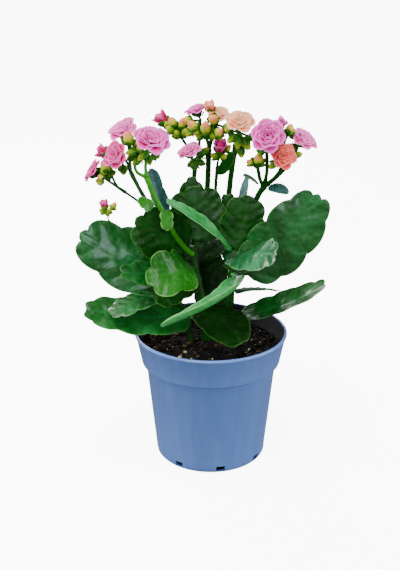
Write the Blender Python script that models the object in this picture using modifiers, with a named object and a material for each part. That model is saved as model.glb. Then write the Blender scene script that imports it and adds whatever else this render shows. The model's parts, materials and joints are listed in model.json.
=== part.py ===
"""A potted kalanchoe: a plastic nursery pot of potting soil with a branching, leafy plant in double flower.

Run it with: blender --background --python part.py
Blender's units are metres. Sizes and places below are in millimetres, and MM turns them to metres.
The origin is on the pot's axis at the surface that the pot stands on, and the front of the plant faces -Y.
"""

import bmesh
import bpy
from math import cos, pi, radians, sin
from mathutils import Matrix, Vector

MM = 0.001

# The pot: a 10.5 cm nursery pot with a stacking collar.
POT_RIM_RADIUS = 52.5
POT_HEIGHT = 92.0
COLLAR_HEIGHT = 21.8
COLLAR_FOOT_RADIUS = 47.9
BODY_TOP_RADIUS = 44.9
BODY_FOOT_RADIUS = 38.6
FOOT_CORNER = 6.5
BASE_RADIUS = 35.0
WALL = 1.3
POT_STEPS = 40
SLOT_COUNT = 8
SLOT_WIDTH = 6.0
SLOT_HEIGHT = 4.0
SLOT_DEPTH = 8.0
SLOT_FOOT = 1.9
SLOT_PHASE = 235.0

# The soil fills the pot to a little below its rim, and its crown falls to a share of its height at a
# share of its reach.
SOIL_BELOW_RIM = 12.0
SOIL_CROWN = 2.5
CROWN_REACH = 0.6
CROWN_DROP = 0.7

# Neighbours keep this gap, and a leaf starts this far from its stem's axis.
GAP = 0.35
LEAF_START = 4.5
BRACT_START = 2.8
KNUCKLE = 1.15

# A leaf is a narrow stalk for this share of its length, then an oval blade whose outline is a
# superellipse, drawn towards the tip by the taper. The grid stops just short of the tip.
LEAF_THICKNESS = 0.9
LEAF_ROWS = 11
LEAF_COLUMNS = 4
PETIOLE_HALF_WIDTH = 1.9
STALK_SHARE = 0.14
OVAL_POWER = 2.3
BLADE_TAPER = 0.85
LAST_SHARE = 0.985

# A flower's short stem, its green cup, and how its branch compares with the stalk below.
FLOWER_STEPS = 10
PEDICEL_RADIUS = 0.8
CALYX_LENGTH = 5.0
PEDICEL_LENGTH = 3.0
BRANCH_FOOT_SHARE = 0.85
BRANCH_SHARE = 0.65
FORK_SHARE = 1.15
BUD_NARROWING = 0.25

# Colours as sRGB bytes.
POT_BLUE = (108, 139, 180)
SOIL_BLACK = (30, 23, 19)
LEAF_GREEN = (28, 96, 34)
LIME_GREEN = (98, 168, 42)
STEM_GREEN = (52, 118, 40)
PETAL_PINK = (238, 130, 186)
BUD_PEACH = (232, 190, 140)

# Stems. Each has its foot radius, its top radius and its route.
STEMS = {
    "main_stem": (3.6, 2.9, [(-3, 4, 73), (-4, 4, 99), (-8, 3, 120), (-11, 3, 135), (-12, 5, 151)]),
    "side_stem_right": (3.1, 2.5, [(9, 7, 73), (12, 6, 100), (14, 5, 124), (15, 7, 144)]),
    "side_shoot_left": (2.1, 1.6, [(-13, 3, 74), (-16, 5, 100), (-24, 1, 113), (-31, -9, 121)]),
}

# Leaves: the point on the stem's axis that the leaf grows from, its tip, its width, the way its
# upper face looks, how far the midrib bows, and the margins' lift as a share of the half width.
LEAVES = {
    "leaf_left_large": ((-9.6, 3, 127), (-88, -7, 165), 44, (-0.10, -0.92, 0.38), (0, 0, -5), -0.10),
    "leaf_left_lower": ((-4, 4, 100), (-85, -24, 117), 33, (-0.10, -0.50, 0.86), (0, -5, -1), 0.05),
    "leaf_left_dark": ((-31, -9, 121), (-67, -30, 115), 21, (-0.10, -0.30, 0.95), (0, -1, 3), 0.00),
    "leaf_left_mid": ((-11.8, 4.4, 147), (-49, -22, 179), 36, (-0.25, -0.88, 0.40), (0, -3, 0), 0.05),
    "leaf_left_small": ((-10.5, 3, 132), (-60, -28, 144), 19, (-0.10, -0.75, 0.65), (0, -2, 0), 0.00),
    "leaf_front_bright": ((-11, 3.3, 136), (-43, -30, 141), 32, (-0.15, -0.90, 0.40), (3, -13, 5), 0.12),
    "leaf_front_fold": ((14.4, 6, 131), (-34, -50, 115), 19, (-0.25, 0.28, 0.93), (18, -12, 7), 0.45),
    "leaf_front_low": ((-5, 4, 107), (20, -40, 98), 35, (0.30, -0.62, 0.72), (-2, -3, 6), 0.05),
    "leaf_front_dark": ((-8.6, 3, 123), (-34, -28, 120), 18, (-0.20, -0.65, 0.73), (0, 0, 3), 0.10),
    "leaf_top_fold": ((14, 5, 146), (-30, -18, 189), 17, (0.55, -0.15, 0.80), (4, -4, 3), 0.15),
    "leaf_center_large": ((-9, 6, 150), (-12, 9, 192), 40, (0.05, -0.90, 0.40), (1, -1, 0), 0.05),
    "leaf_center_back_left": ((-13, 9, 155), (-13, 15, 197), 19, (0.00, -0.90, 0.40), (0, 0, 0), 0.05),
    "leaf_center_back_right": ((13, 10, 147), (11, 13, 186), 15, (0.00, -0.90, 0.40), (0, -1, 0), 0.05),
    "leaf_center_right": ((16, 7, 143), (25, 8, 186), 31, (0.15, -0.92, 0.35), (0, -1, 0), 0.05),
    "leaf_right_large": ((14, 4.8, 126), (71, -4, 191), 42, (0.30, -0.85, 0.42), (3, -4, -4), -0.05),
    "leaf_right_glossy": ((14.8, 6.6, 141), (42, -36, 159), 30, (0.05, -0.62, 0.78), (-3, -7, 4), 0.00),
    "leaf_right_lower": ((12, 6, 99), (78, -8, 129), 26, (-0.30, -0.20, 0.93), (0, 0, -6), 0.25),
    "leaf_right_edge": ((13.6, 5.5, 116), (47, 24, 111), 20, (0.05, 0.30, 0.95), (0, 0, 3), 0.00),
    "leaf_back_left": ((-8, 3, 117), (-58, 52, 134), 42, (-0.30, 0.30, 0.90), (0, 0, 7), 0.05),
    "leaf_back_center": ((-10, 3, 129), (-8, 70, 152), 44, (0.00, -0.30, 0.95), (0, 0, 8), 0.05),
    "leaf_back_low": ((-3, 6, 97), (0, 25, 137), 20, (0.05, -0.90, 0.42), (2, 1, 0), 0.05),
    "leaf_back_right": ((14, 5, 122), (46, 58, 142), 42, (0.20, 0.30, 0.90), (0, 0, 7), 0.05),
}

# Flowers: middle of the corolla, the way it faces, its radius.
FLOWERS = {
    "flower_far_left": ((-76, -15, 208), (-0.80, -0.20, 0.55), 8.0),
    "flower_left_low": ((-60, -24.5, 220.5), (-0.45, -0.75, 0.45), 8.5),
    "flower_left_back": ((-56, -4, 231.5), (-0.30, -0.35, 0.87), 10.0),
    "flower_left_large": ((-37.5, -29, 230), (0.25, -0.50, 0.83), 12.0),
    "flower_center_low": ((-14.5, -4, 218.5), (-0.35, -0.35, 0.87), 8.0),
    "flower_center_back": ((-9.5, 14, 241.5), (-0.30, -0.10, 0.93), 8.0),
    "flower_center_top": ((4, 7, 240), (0.15, -0.35, 0.92), 8.0),
    "flower_right_center": ((17.5, -7, 237), (0.00, -0.50, 0.87), 10.0),
    "flower_right_large": ((34.5, -20, 231.5), (0.05, -0.88, 0.47), 11.0),
    "flower_right_low": ((45, -19, 218.5), (0.30, -0.85, 0.40), 8.5),
    "flower_far_right": ((58, -7, 226), (0.45, -0.35, 0.80), 9.5),
}

# Bud clusters: the point they branch from, then each bud's middle, length and radius.
BUD_CLUSTERS = {
    "buds_far_left": ((-63, -17, 204), [((-67, -20, 212.5), 9.0, 3.5), ((-70, -20, 205), 5.0, 2.4)]),
    "buds_left": ((-49, -16, 214), [((-52, -20.5, 230), 10.0, 3.6), ((-45, -20, 223), 7.5, 2.7)]),
    "buds_back_left": (
        (-19, 17, 221),
        [((-32, 18, 234), 10.0, 3.6), ((-25.5, 14, 233), 8.0, 3.2), ((-19, 14, 232), 8.5, 3.0)],
    ),
    "buds_center": (
        (-3, 3, 224),
        [((-4, -5, 233.5), 10.5, 3.5), ((-12, 0, 233.5), 9.0, 3.2), ((4.5, -5, 230.5), 7.5, 3.0)],
    ),
    "buds_center_low": ((5, 10, 210), [((5.5, 6, 218), 9.0, 3.2), ((10.5, 8, 217), 6.5, 2.2)]),
    "buds_right": ((30, -3, 206), [((30, -8, 214), 8.5, 3.4), ((24.5, -6, 211), 5.5, 2.2)]),
    "buds_shoot": ((-70, 18, 168), [((-72, 17, 176), 6.0, 2.4), ((-66, 18, 175), 6.0, 2.2)]),
}

# Flower stalks: radius, route, and branches with the flower or cluster that each one ends under.
STALKS = {
    "stalk_left_front": (
        1.7,
        [
            (-12, -1, 147),
            (-15.5, -3, 150.5),
            (-20, -7, 157),
            (-25, -14, 167),
            (-30, -21, 180),
            (-36.5, -23, 194),
            (-41, -24, 206),
        ],
        {"flower_left_large": [(-41.5, -24, 214)], "buds_left": [(-47.5, -18, 208)]},
    ),
    "stalk_left_middle": (
        1.4,
        [(-15, 5, 153), (-21, -1, 162), (-30, -6, 173), (-39, -11, 183), (-45, -13, 193), (-52, -10, 206)],
        {
            "flower_left_low": [(-54, -13, 213)],
            "flower_left_back": [(-53, -5, 219)],
            "buds_far_left": [(-47, -15, 188), (-55, -16, 194), (-60, -17, 198)],
            "flower_far_left": [(-64, -12, 199)],
        },
    ),
    "stalk_center": (
        1.9,
        [(-8, 10, 152), (-5, 16, 164), (-3, 19, 182), (-2, 15, 201), (-2, 9, 216)],
        {"buds_center": [(-2, 6, 220)], "flower_center_top": [(1, 9, 226)]},
    ),
    "stalk_center_left": (
        1.5,
        [(-13, 10, 148), (-12, 20, 160), (-12, 23, 184), (-11, 19, 201)],
        {
            "flower_center_low": [(-11, 8, 206)],
            "buds_back_left": [(-15, 18, 214)],
            "flower_center_back": [(-8, 15, 218)],
        },
    ),
    "stalk_center_right": (
        1.2,
        [(11, 12, 147), (5, 17, 160), (3, 19, 184), (4, 14, 203)],
        {"buds_center_low": [(4, 12, 206)]},
    ),
    "stalk_right_center": (
        1.9,
        [(15, 12, 146), (11, 18, 160), (12, 20, 182), (14, 13, 205), (16, 6, 220)],
        {"flower_right_center": [(17, 3, 226)]},
    ),
    "stalk_right": (
        2.0,
        [(19, 11, 146), (24, 16, 160), (28, 15, 174), (31.5, 13, 184), (35, 9, 191)],
        {
            "flower_right_large": [(36, 1, 203), (35.5, -5, 214)],
            "flower_right_low": [(42, 1, 200), (45, -4, 208)],
            "flower_far_right": [(43, 4, 199), (51, 0, 210)],
            "buds_right": [(32, 4, 197)],
        },
    ),
    "stalk_shoot": (
        0.9,
        [(-16, 7, 138), (-30, 15, 139), (-48, 22, 145), (-62, 24, 152), (-69, 20, 163)],
        {"buds_shoot": [(-70, 19, 165)]},
    ),
}

# Branches that don't leave their stalk at its end: the point where they fork off.
FORKS = {"buds_far_left": (-39, -11, 183), "flower_far_left": (-55, -16, 194)}

# Small leaves on the flower stalks, written as the leaves are.
BRACTS = {
    "bract_left_front": ((-36, -27, 184), (-47, -31, 192), 9, (-0.20, -0.70, 0.70), (0, 0, 2), 0.10),
    "bract_right_front": ((-29, -26, 187), (-28, -34, 174), 9, (0.20, -0.85, 0.50), (0, -2, 1), 0.10),
    "bract_left_back": ((-26, 9, 164), (-40, 13, 203), 13, (0.50, -0.75, 0.40), (-3, 0, 2), 0.10),
    "bract_center": ((4, 15, 196), (13, 4, 216), 8, (0.30, -0.85, 0.45), (1, 0, 0), 0.10),
    "bract_right_left": ((32, 6, 192.5), (20.5, -2, 201.5), 6, (0.30, -0.30, 0.90), (0, 0, 1), 0.20),
    "bract_right_right": ((36, 7, 190), (50, -5, 190), 8, (-0.10, -0.60, 0.80), (0, 0, 2), 0.10),
    "bract_right_back": ((20, 19, 164), (25, 26, 194), 8, (-0.70, -0.60, 0.30), (-1, 1, 0), 0.10),
}


def linear(byte):
    """One sRGB byte as linear light."""
    share = byte / 255
    if share <= 0.04045:
        return share / 12.92
    return ((share + 0.055) / 1.055) ** 2.4


def material(name, colour, roughness):
    made = bpy.data.materials.new(name)
    made.use_nodes = True
    shader = made.node_tree.nodes["Principled BSDF"]
    shader.inputs["Base Color"].default_value = [linear(byte) for byte in colour] + [1]
    shader.inputs["Roughness"].default_value = roughness
    shader.inputs["Metallic"].default_value = 0
    return made


def collection(name):
    made = bpy.data.collections.new(name)
    bpy.context.scene.collection.children.link(made)
    return made


def place(name, mesh, group, finish=None):
    """A named object for a mesh, shaded smooth."""
    made = bpy.data.objects.new(name, mesh)
    group.objects.link(made)
    if finish:
        mesh.materials.clear()
        mesh.materials.append(finish)
        mesh.shade_smooth()
        mesh.set_sharp_from_angle(angle=radians(40))
    return made


def hide(helper):
    helper.hide_render = True
    helper.display_type = "WIRE"


def scaled(point):
    return Vector(point) * MM


def turned(name, profile, steps, group, finish=None):
    """A closed turned shape from a profile of (radius, height) that ends on the axis at both ends."""
    mesh = bpy.data.meshes.new(name)
    bm = bmesh.new()
    points = [bm.verts.new((radius * MM, 0, height * MM)) for radius, height in profile]
    for first, second in zip(points, points[1:]):
        bm.edges.new((first, second))
    bm.to_mesh(mesh)
    bm.free()
    made = place(name, mesh, group, finish)
    screw = made.modifiers.new("turn", "SCREW")
    screw.steps = steps
    screw.render_steps = steps
    screw.use_merge_vertices = True
    screw.merge_threshold = 0.00005
    return made


def tube(name, points, radii, group, finish=None):
    """A round, capped tube along points, as a closed mesh."""
    curve = bpy.data.curves.new(name, "CURVE")
    curve.dimensions = "3D"
    curve.bevel_depth = MM
    curve.bevel_resolution = 2
    curve.use_fill_caps = True
    spline = curve.splines.new("POLY")
    spline.points.add(len(points) - 1)
    for knot, point, radius in zip(spline.points, points, radii):
        knot.co = (*scaled(point), 1)
        knot.radius = radius
    guide = place(name + "_route", curve, group)
    seen = guide.evaluated_get(bpy.context.evaluated_depsgraph_get())
    mesh = bpy.data.meshes.new_from_object(seen)
    bpy.data.objects.remove(guide)
    bm = bmesh.new()
    bm.from_mesh(mesh)
    bmesh.ops.remove_doubles(bm, verts=bm.verts, dist=0.00001)
    bmesh.ops.recalc_face_normals(bm, faces=bm.faces)
    bm.to_mesh(mesh)
    bm.free()
    return place(name, mesh, group, finish)


def smooth_route(points, steps):
    """Points read from a smooth curve through the route's own points (Catmull-Rom)."""
    knots = [Vector(point) for point in points]
    knots = [2 * knots[0] - knots[1], *knots, 2 * knots[-1] - knots[-2]]
    route = []
    for a, b, c, d in zip(knots, knots[1:], knots[2:], knots[3:]):
        for step in range(steps):
            t = step / steps
            route.append(
                0.5 * (2 * b + (c - a) * t + (2 * a - 5 * b + 4 * c - d) * t**2
                       + (3 * b - a - 3 * c + d) * t**3)
            )
    return [*route, knots[-2]]


def joined(body, pieces):
    """The body with each piece merged into it by a Boolean union."""
    for piece in pieces:
        union = body.modifiers.new("join", "BOOLEAN")
        union.operation = "UNION"
        union.object = piece
        hide(piece)
    return body


def cut(body, cutter):
    difference = body.modifiers.new("cut", "BOOLEAN")
    difference.operation = "DIFFERENCE"
    difference.object = cutter
    hide(cutter)


def flower_root(name):
    """Where a flower's pedicel starts."""
    middle, facing, _radius = FLOWERS[name]
    return Vector(middle) - Vector(facing).normalized() * (CALYX_LENGTH + PEDICEL_LENGTH)


def branch_end(name):
    """Where a branch stops, a gap short of the flower or bud cluster above it."""
    if name in FLOWERS:
        return flower_root(name) - Vector(FLOWERS[name][1]).normalized() * 2 * GAP
    root = Vector(BUD_CLUSTERS[name][0])
    middle = sum((Vector(bud[0]) for bud in BUD_CLUSTERS[name][1]), Vector()) / len(BUD_CLUSTERS[name][1])
    return root - (middle - root).normalized() * (KNUCKLE + 2 * GAP)


def pot_wall():
    """The pot's outside line, top to bottom, down to the foot's rounded corner."""
    collar_foot = POT_HEIGHT - COLLAR_HEIGHT
    return [
        (POT_RIM_RADIUS - 0.6, POT_HEIGHT),
        (POT_RIM_RADIUS, POT_HEIGHT - 0.6),
        (POT_RIM_RADIUS, POT_HEIGHT - 1.8),
        (POT_RIM_RADIUS - 0.7, POT_HEIGHT - 2.6),
        (COLLAR_FOOT_RADIUS, collar_foot + 1.0),
        (COLLAR_FOOT_RADIUS - 0.6, collar_foot),
        (BODY_TOP_RADIUS, collar_foot - 1.0),
        (BODY_FOOT_RADIUS, FOOT_CORNER),
        (BODY_FOOT_RADIUS - 1.2, 1.6),
        (BASE_RADIUS, 0),
    ]


def pot_inside():
    """The pot's inside line, bottom to top."""
    collar_foot = POT_HEIGHT - COLLAR_HEIGHT
    return [
        (BASE_RADIUS - 1.0, WALL),
        (BODY_FOOT_RADIUS - WALL - 1.0, 2.4),
        (BODY_FOOT_RADIUS - WALL, FOOT_CORNER),
        (BODY_TOP_RADIUS - WALL, collar_foot - 1.6),
        (COLLAR_FOOT_RADIUS - WALL - 0.4, collar_foot + 0.6),
        (POT_RIM_RADIUS - WALL - 0.9, POT_HEIGHT - 2.6),
        (POT_RIM_RADIUS - WALL - 0.6, POT_HEIGHT),
    ]


def make_pot(parts, helpers, finish):
    profile = [(0, WALL), *pot_inside(), *pot_wall(), (0, 0)]
    pot = turned("pot", profile, POT_STEPS, parts, finish)
    slots = bpy.data.meshes.new("drain_slots")
    bm = bmesh.new()
    for index in range(SLOT_COUNT):
        angle = radians(SLOT_PHASE) + 2 * pi * index / SLOT_COUNT
        made = bmesh.ops.create_cube(bm, size=1)["verts"]
        bmesh.ops.scale(bm, verts=made, vec=(SLOT_DEPTH * MM, SLOT_WIDTH * MM, SLOT_HEIGHT * MM))
        middle_height = (SLOT_FOOT + SLOT_HEIGHT / 2) * MM
        bmesh.ops.translate(bm, verts=made, vec=(BODY_FOOT_RADIUS * MM, 0, middle_height))
        bmesh.ops.rotate(bm, verts=made, cent=(0, 0, 0), matrix=Matrix.Rotation(angle, 3, "Z"))
    bm.to_mesh(slots)
    bm.free()
    cut(pot, place("drain_slots", slots, helpers))


def make_soil(parts, helpers, finish):
    """The soil fills the pot's inside, with a socket around each stem that grows out of it."""
    top = POT_HEIGHT - SOIL_BELOW_RIM
    sides = [(radius - GAP, height + GAP) for radius, height in pot_inside() if height < top]
    low, high = pot_inside()[-3:-1]
    rise = (top - low[1]) / (high[1] - low[1])
    edge = low[0] + (high[0] - low[0]) * rise - GAP
    crown = [(0, top + SOIL_CROWN), (edge * CROWN_REACH, top + SOIL_CROWN * CROWN_DROP), (edge, top)]
    profile = [(0, WALL + GAP), *sides, *reversed(crown)]
    soil = turned("potting_soil", profile[::-1], POT_STEPS // 2, parts, finish)
    for name, (foot, _top, route) in STEMS.items():
        path = smooth_route(route, 2)[:3]
        path[0] -= Vector((0, 0, 2 * GAP))
        cut(soil, tube(f"{name}_socket", path, [foot + 2 * GAP] * len(path), helpers))


def make_stems(parts, finish):
    for name, (foot, top, route) in STEMS.items():
        points = smooth_route(route, 2)
        last = len(points) - 1
        radii = [foot + (top - foot) * index / last for index in range(last + 1)]
        tube(name, points, radii, parts, finish)


def make_stalks(parts, helpers, finish):
    for name, (radius, route, branches) in STALKS.items():
        points = smooth_route(route, 2)
        body = tube(name, points, [radius] * len(points), parts, finish)
        arms = [ball(f"{name}_knuckle", Vector(route[-1]), radius * FORK_SHARE, helpers)]
        for target, bends in branches.items():
            path = smooth_route([FORKS.get(target, route[-1]), *bends, branch_end(target)], 2)
            radii = [radius * BRANCH_FOOT_SHARE] + [radius * BRANCH_SHARE] * (len(path) - 1)
            arms.append(tube(f"{name}_to_{target}", path, radii, helpers))
        joined(body, arms)


def blade_half_width(share, width):
    """Half the leaf's width at a share of its length: a narrow stalk, then a broad oval blade."""
    if share <= STALK_SHARE:
        return PETIOLE_HALF_WIDTH
    along = ((share - STALK_SHARE) / (1 - STALK_SHARE)) ** BLADE_TAPER
    oval = max(0.0, 1 - abs(2 * along - 1) ** OVAL_POWER) ** (1 / OVAL_POWER)
    return max(PETIOLE_HALF_WIDTH * (1 - along), width / 2 * oval)


def make_leaf(name, foot, tip, width, face, bow, lift, start, group, finish):
    """A flat grid bent along the leaf's midrib, then given a thickness."""
    foot, tip, face, bow = Vector(foot), Vector(tip), Vector(face), Vector(bow)
    middle = (foot + tip) / 2 + 2 * bow
    first = start / ((middle - foot).length + (tip - middle).length)
    mesh = bpy.data.meshes.new(name)
    bm = bmesh.new()
    bmesh.ops.create_grid(bm, x_segments=LEAF_ROWS, y_segments=LEAF_COLUMNS, size=1)
    for vert in bm.verts:
        along, across = (vert.co.x + 1) / 2, vert.co.y
        if along > 0.5:
            along = (1 - cos(pi * along)) / 2
        share = first + (LAST_SHARE - first) * along
        spine = foot * (1 - share) ** 2 + middle * 2 * share * (1 - share) + tip * share**2
        run = ((middle - foot) * (1 - share) + (tip - middle) * share).normalized()
        up = (face - face.dot(run) * run).normalized()
        side = run.cross(up)
        half = blade_half_width(share, width)
        spot = spine - foot + side * across * half + up * lift * half * across**2
        vert.co = spot * MM
    bm.to_mesh(mesh)
    bm.free()
    leaf = place(name, mesh, group, finish)
    leaf.location = foot * MM
    shell = leaf.modifiers.new("thickness", "SOLIDIFY")
    shell.thickness = LEAF_THICKNESS * MM
    shell.offset = 0


def make_flower(name, middle, facing, radius, group, finish):
    """A double flower in outline: its pedicel, calyx cup and crowned corolla, turned about its own axis."""
    foot = -(CALYX_LENGTH + PEDICEL_LENGTH)
    profile = [
        (0, radius * 0.42),
        (radius * 0.50, radius * 0.36),
        (radius * 0.92, radius * 0.10),
        (radius, -radius * 0.04),
        (radius * 0.62, -radius * 0.14),
        (2.4, -CALYX_LENGTH * 0.45),
        (2.0, -CALYX_LENGTH * 0.9),
        (PEDICEL_RADIUS, -CALYX_LENGTH),
        (PEDICEL_RADIUS, foot),
        (0, foot),
    ]
    flower = turned(name, profile, FLOWER_STEPS, group, finish)
    flower.location = scaled(middle)
    flower.rotation_mode = "QUATERNION"
    flower.rotation_quaternion = Vector((0, 0, 1)).rotation_difference(Vector(facing))


def make_bud(name, root, middle, length, radius, group):
    """One egg-shaped bud that points away from the root."""
    way = (middle - root).normalized()
    mesh = bpy.data.meshes.new(name)
    bm = bmesh.new()
    bmesh.ops.create_uvsphere(bm, u_segments=8, v_segments=6, radius=1)
    for vert in bm.verts:
        narrow = radius * (1 - BUD_NARROWING * vert.co.z)
        vert.co = Vector((vert.co.x * narrow, vert.co.y * narrow, vert.co.z * length / 2)) * MM
    turn = Vector((0, 0, 1)).rotation_difference(way).to_matrix().to_4x4()
    bm.transform(Matrix.Translation(middle * MM) @ turn)
    bm.to_mesh(mesh)
    bm.free()
    return place(name, mesh, group)


def ball(name, middle, radius, group, finish=None):
    """A small round knuckle where stalks meet."""
    mesh = bpy.data.meshes.new(name)
    bm = bmesh.new()
    bmesh.ops.create_icosphere(bm, subdivisions=1, radius=radius * MM)
    bmesh.ops.translate(bm, verts=bm.verts, vec=middle * MM)
    bm.to_mesh(mesh)
    bm.free()
    return place(name, mesh, group, finish)


def make_bud_cluster(name, root, buds, parts, helpers, finish):
    root = Vector(root)
    body = ball(name, root, KNUCKLE, parts, finish)
    shapes = []
    for index, (middle, length, radius) in enumerate(buds):
        middle = Vector(middle)
        shapes.append(tube(f"{name}_stalk_{index}", [root, middle], [PEDICEL_RADIUS] * 2, helpers))
        shapes.append(make_bud(f"{name}_bud_{index}", root, middle, length, radius, helpers))
    joined(body, shapes)


def main():
    for old in list(bpy.data.objects):
        bpy.data.objects.remove(old)
    parts = collection("potted_kalanchoe")
    helpers = collection("helpers")
    make_pot(parts, helpers, material("pot_blue", POT_BLUE, 0.4))
    make_soil(parts, helpers, material("soil_black", SOIL_BLACK, 0.95))
    make_stems(parts, material("stem_green", STEM_GREEN, 0.45))
    make_stalks(parts, helpers, bpy.data.materials["stem_green"])
    leaf_green = material("leaf_green", LEAF_GREEN, 0.3)
    for name, (foot, tip, width, face, bow, lift) in LEAVES.items():
        make_leaf(name, foot, tip, width, face, bow, lift, LEAF_START, parts, leaf_green)
    lime_green = material("lime_green", LIME_GREEN, 0.4)
    for name, (foot, tip, width, face, bow, lift) in BRACTS.items():
        make_leaf(name, foot, tip, width, face, bow, lift, BRACT_START, parts, lime_green)
    petal_pink = material("petal_pink", PETAL_PINK, 0.6)
    for name, (middle, facing, radius) in FLOWERS.items():
        make_flower(name, middle, facing, radius, parts, petal_pink)
    bud_peach = material("bud_peach", BUD_PEACH, 0.5)
    for name, (root, buds) in BUD_CLUSTERS.items():
        make_bud_cluster(name, root, buds, parts, helpers, bud_peach)


main()
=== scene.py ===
# %% [markdown]
# # A potted kalanchoe in double pink flower
# A kalanchoe is a small succulent. Thick scalloped leaves sit in pairs on soft green stems, and flat
# heads of small rose-like flowers stand above them on branching stalks. Here it grows in peat in a
# 10.5 cm plastic nursery pot. The frame gives every piece its place, so this lesson only has to make
# each piece look like what it is. All design sizes below are in millimetres.

# %% Load the frame
import json
from math import atan2, cos, exp, pi, radians, sin
from random import Random

import bmesh
import bpy
from mathutils import Matrix, Vector, noise

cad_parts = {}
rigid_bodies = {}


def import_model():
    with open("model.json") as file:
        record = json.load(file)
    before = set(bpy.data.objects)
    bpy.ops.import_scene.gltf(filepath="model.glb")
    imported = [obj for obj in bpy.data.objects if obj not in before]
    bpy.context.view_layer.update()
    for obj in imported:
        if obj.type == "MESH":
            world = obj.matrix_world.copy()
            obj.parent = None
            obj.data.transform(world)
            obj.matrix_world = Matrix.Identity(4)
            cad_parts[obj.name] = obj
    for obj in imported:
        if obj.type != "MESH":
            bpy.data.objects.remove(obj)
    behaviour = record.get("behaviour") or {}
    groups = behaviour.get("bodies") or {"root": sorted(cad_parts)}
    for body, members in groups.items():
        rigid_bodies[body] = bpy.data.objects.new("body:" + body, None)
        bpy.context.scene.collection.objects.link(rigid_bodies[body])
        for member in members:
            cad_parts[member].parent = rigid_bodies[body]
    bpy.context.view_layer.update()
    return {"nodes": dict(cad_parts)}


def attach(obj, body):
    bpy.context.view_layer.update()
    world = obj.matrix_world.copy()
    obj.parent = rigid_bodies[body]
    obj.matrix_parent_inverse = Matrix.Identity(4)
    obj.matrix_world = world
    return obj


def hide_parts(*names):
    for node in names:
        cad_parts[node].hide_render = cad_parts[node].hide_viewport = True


for old in list(bpy.data.objects):
    bpy.data.objects.remove(old)
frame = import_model()
print("nodes in the frame:", len(frame["nodes"]))

MM = 0.001


# %% [markdown]
# ## Small helpers
# Colours are written as hex values, which are sRGB, and the shader wants linear light. One function
# turns the one into the other. Another adds a shader node with its settings and its links, so that a
# material reads as a list of what feeds what.

# %% Helpers for colours and shader nodes
def linear(code):
    """A hex colour as linear red, green, blue and alpha."""
    shares = [int(code[i:i + 2], 16) / 255 for i in (0, 2, 4)]
    return [s / 12.92 if s <= 0.04045 else ((s + 0.055) / 1.055) ** 2.4 for s in shares] + [1]


def link(tree, node, links):
    """Feeds a node's sockets. A source that is a whole node gives its first output."""
    for key, source in links.items():
        tree.links.new(source.outputs[0] if hasattr(source, "outputs") else source, node.inputs[key])


def add(tree, kind, settings, links):
    """Adds a shader node: its properties, its sockets' values, and what feeds its sockets."""
    made = tree.nodes.new("ShaderNode" + kind)
    for key, value in settings.items():
        if key == "stops":
            ramp = made.color_ramp.elements
            while len(ramp) < len(value):
                ramp.new(0.5)
            for stop, (place, colour) in zip(ramp, value):
                stop.position = place
                stop.color = linear(colour)
        elif isinstance(key, str) and hasattr(made, key):
            setattr(made, key, value)
        else:
            made.inputs[key].default_value = value
    link(tree, made, links)
    return made


def per_metre(size):
    """How many features of a size in millimetres fit in a metre, which is a texture's scale."""
    return 1 / (size * MM)


def start_material(name, settings):
    """A new material: its node tree and its Principled shader with these settings."""
    material = bpy.data.materials.new(name)
    material.use_nodes = True
    tree = material.node_tree
    shader = tree.nodes["Principled BSDF"]
    for key, value in settings.items():
        shader.inputs[key].default_value = value
    return material, tree, shader

def grainy_material(name, settings, stops, size, detail=4.0, fray=0.5, relief=None):
    """A dull material whose colour wanders through the stops in grains of a size in millimetres. Relief
    is how strongly and how many millimetres deep the grains stand out."""
    material, tree, shader = start_material(name, settings)
    place = add(tree, "TexCoord", {}, {}).outputs["Object"]
    grain = add(tree, "TexNoise", {"Scale": per_metre(size), "Detail": detail, "Roughness": fray},
                {0: place})
    tone = add(tree, "ValToRGB", {"stops": stops}, {0: grain})
    link(tree, shader, {"Base Color": tone})
    if relief:
        strength, depth = relief
        bump = add(tree, "Bump", {"Strength": strength, "Distance": depth * MM}, {"Height": grain})
        link(tree, shader, {"Normal": bump})
    return material


print("helpers ready")


# %% [markdown]
# ## From a bmesh to a piece
# Every piece is built in world millimetres, turned to metres once, and left at the origin with its
# place in its mesh. The body it rides on and the node it stands for are said here.

# %% Helpers that make an object and finish a piece
def make_object(name, bm, materials=()):
    """Turns a bmesh in metres into an object at the origin."""
    mesh = bpy.data.meshes.new(name)
    bm.to_mesh(mesh)
    bm.free()
    for material in materials:
        mesh.materials.append(material)
    made = bpy.data.objects.new(name, mesh)
    bpy.context.scene.collection.objects.link(made)
    return made


def finish_piece(name, bm, materials, node, smooth=True):
    """Makes an object of a bmesh in millimetres, sets it on the root body and hides the node it replaces."""
    bmesh.ops.scale(bm, vec=(MM, MM, MM), verts=bm.verts)
    piece = make_object(name, bm, materials)
    if smooth:
        piece.data.shade_smooth()
    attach(piece, "root")
    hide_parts(node)
    return piece


print("piece helpers ready")


# %% [markdown]
# ## Camera, floor and light
# A portrait lens looks down on the pot from a little above. The room is plain: a floor and a wide dome
# of pale paper that glows. Both are hidden from bounced and mirrored light, because a white room would
# turn the dark leaves grey. A wide sun overhead stands for a lit ceiling. Five soft boxes shape the
# plant: a key in front on the left, a small one in front that the large left leaf mirrors as its shine,
# one behind for the tilted leaves, and one at each side for the walls of the pot.

# %% Camera
VIEW_HEIGHT = 570
VIEW_FOCUS = 1010
SENSOR = 36.0
CAMERA_PLACE = Vector((-7.5, -640, 369)) * MM
CAMERA_DOWN = radians(20.9)

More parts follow.
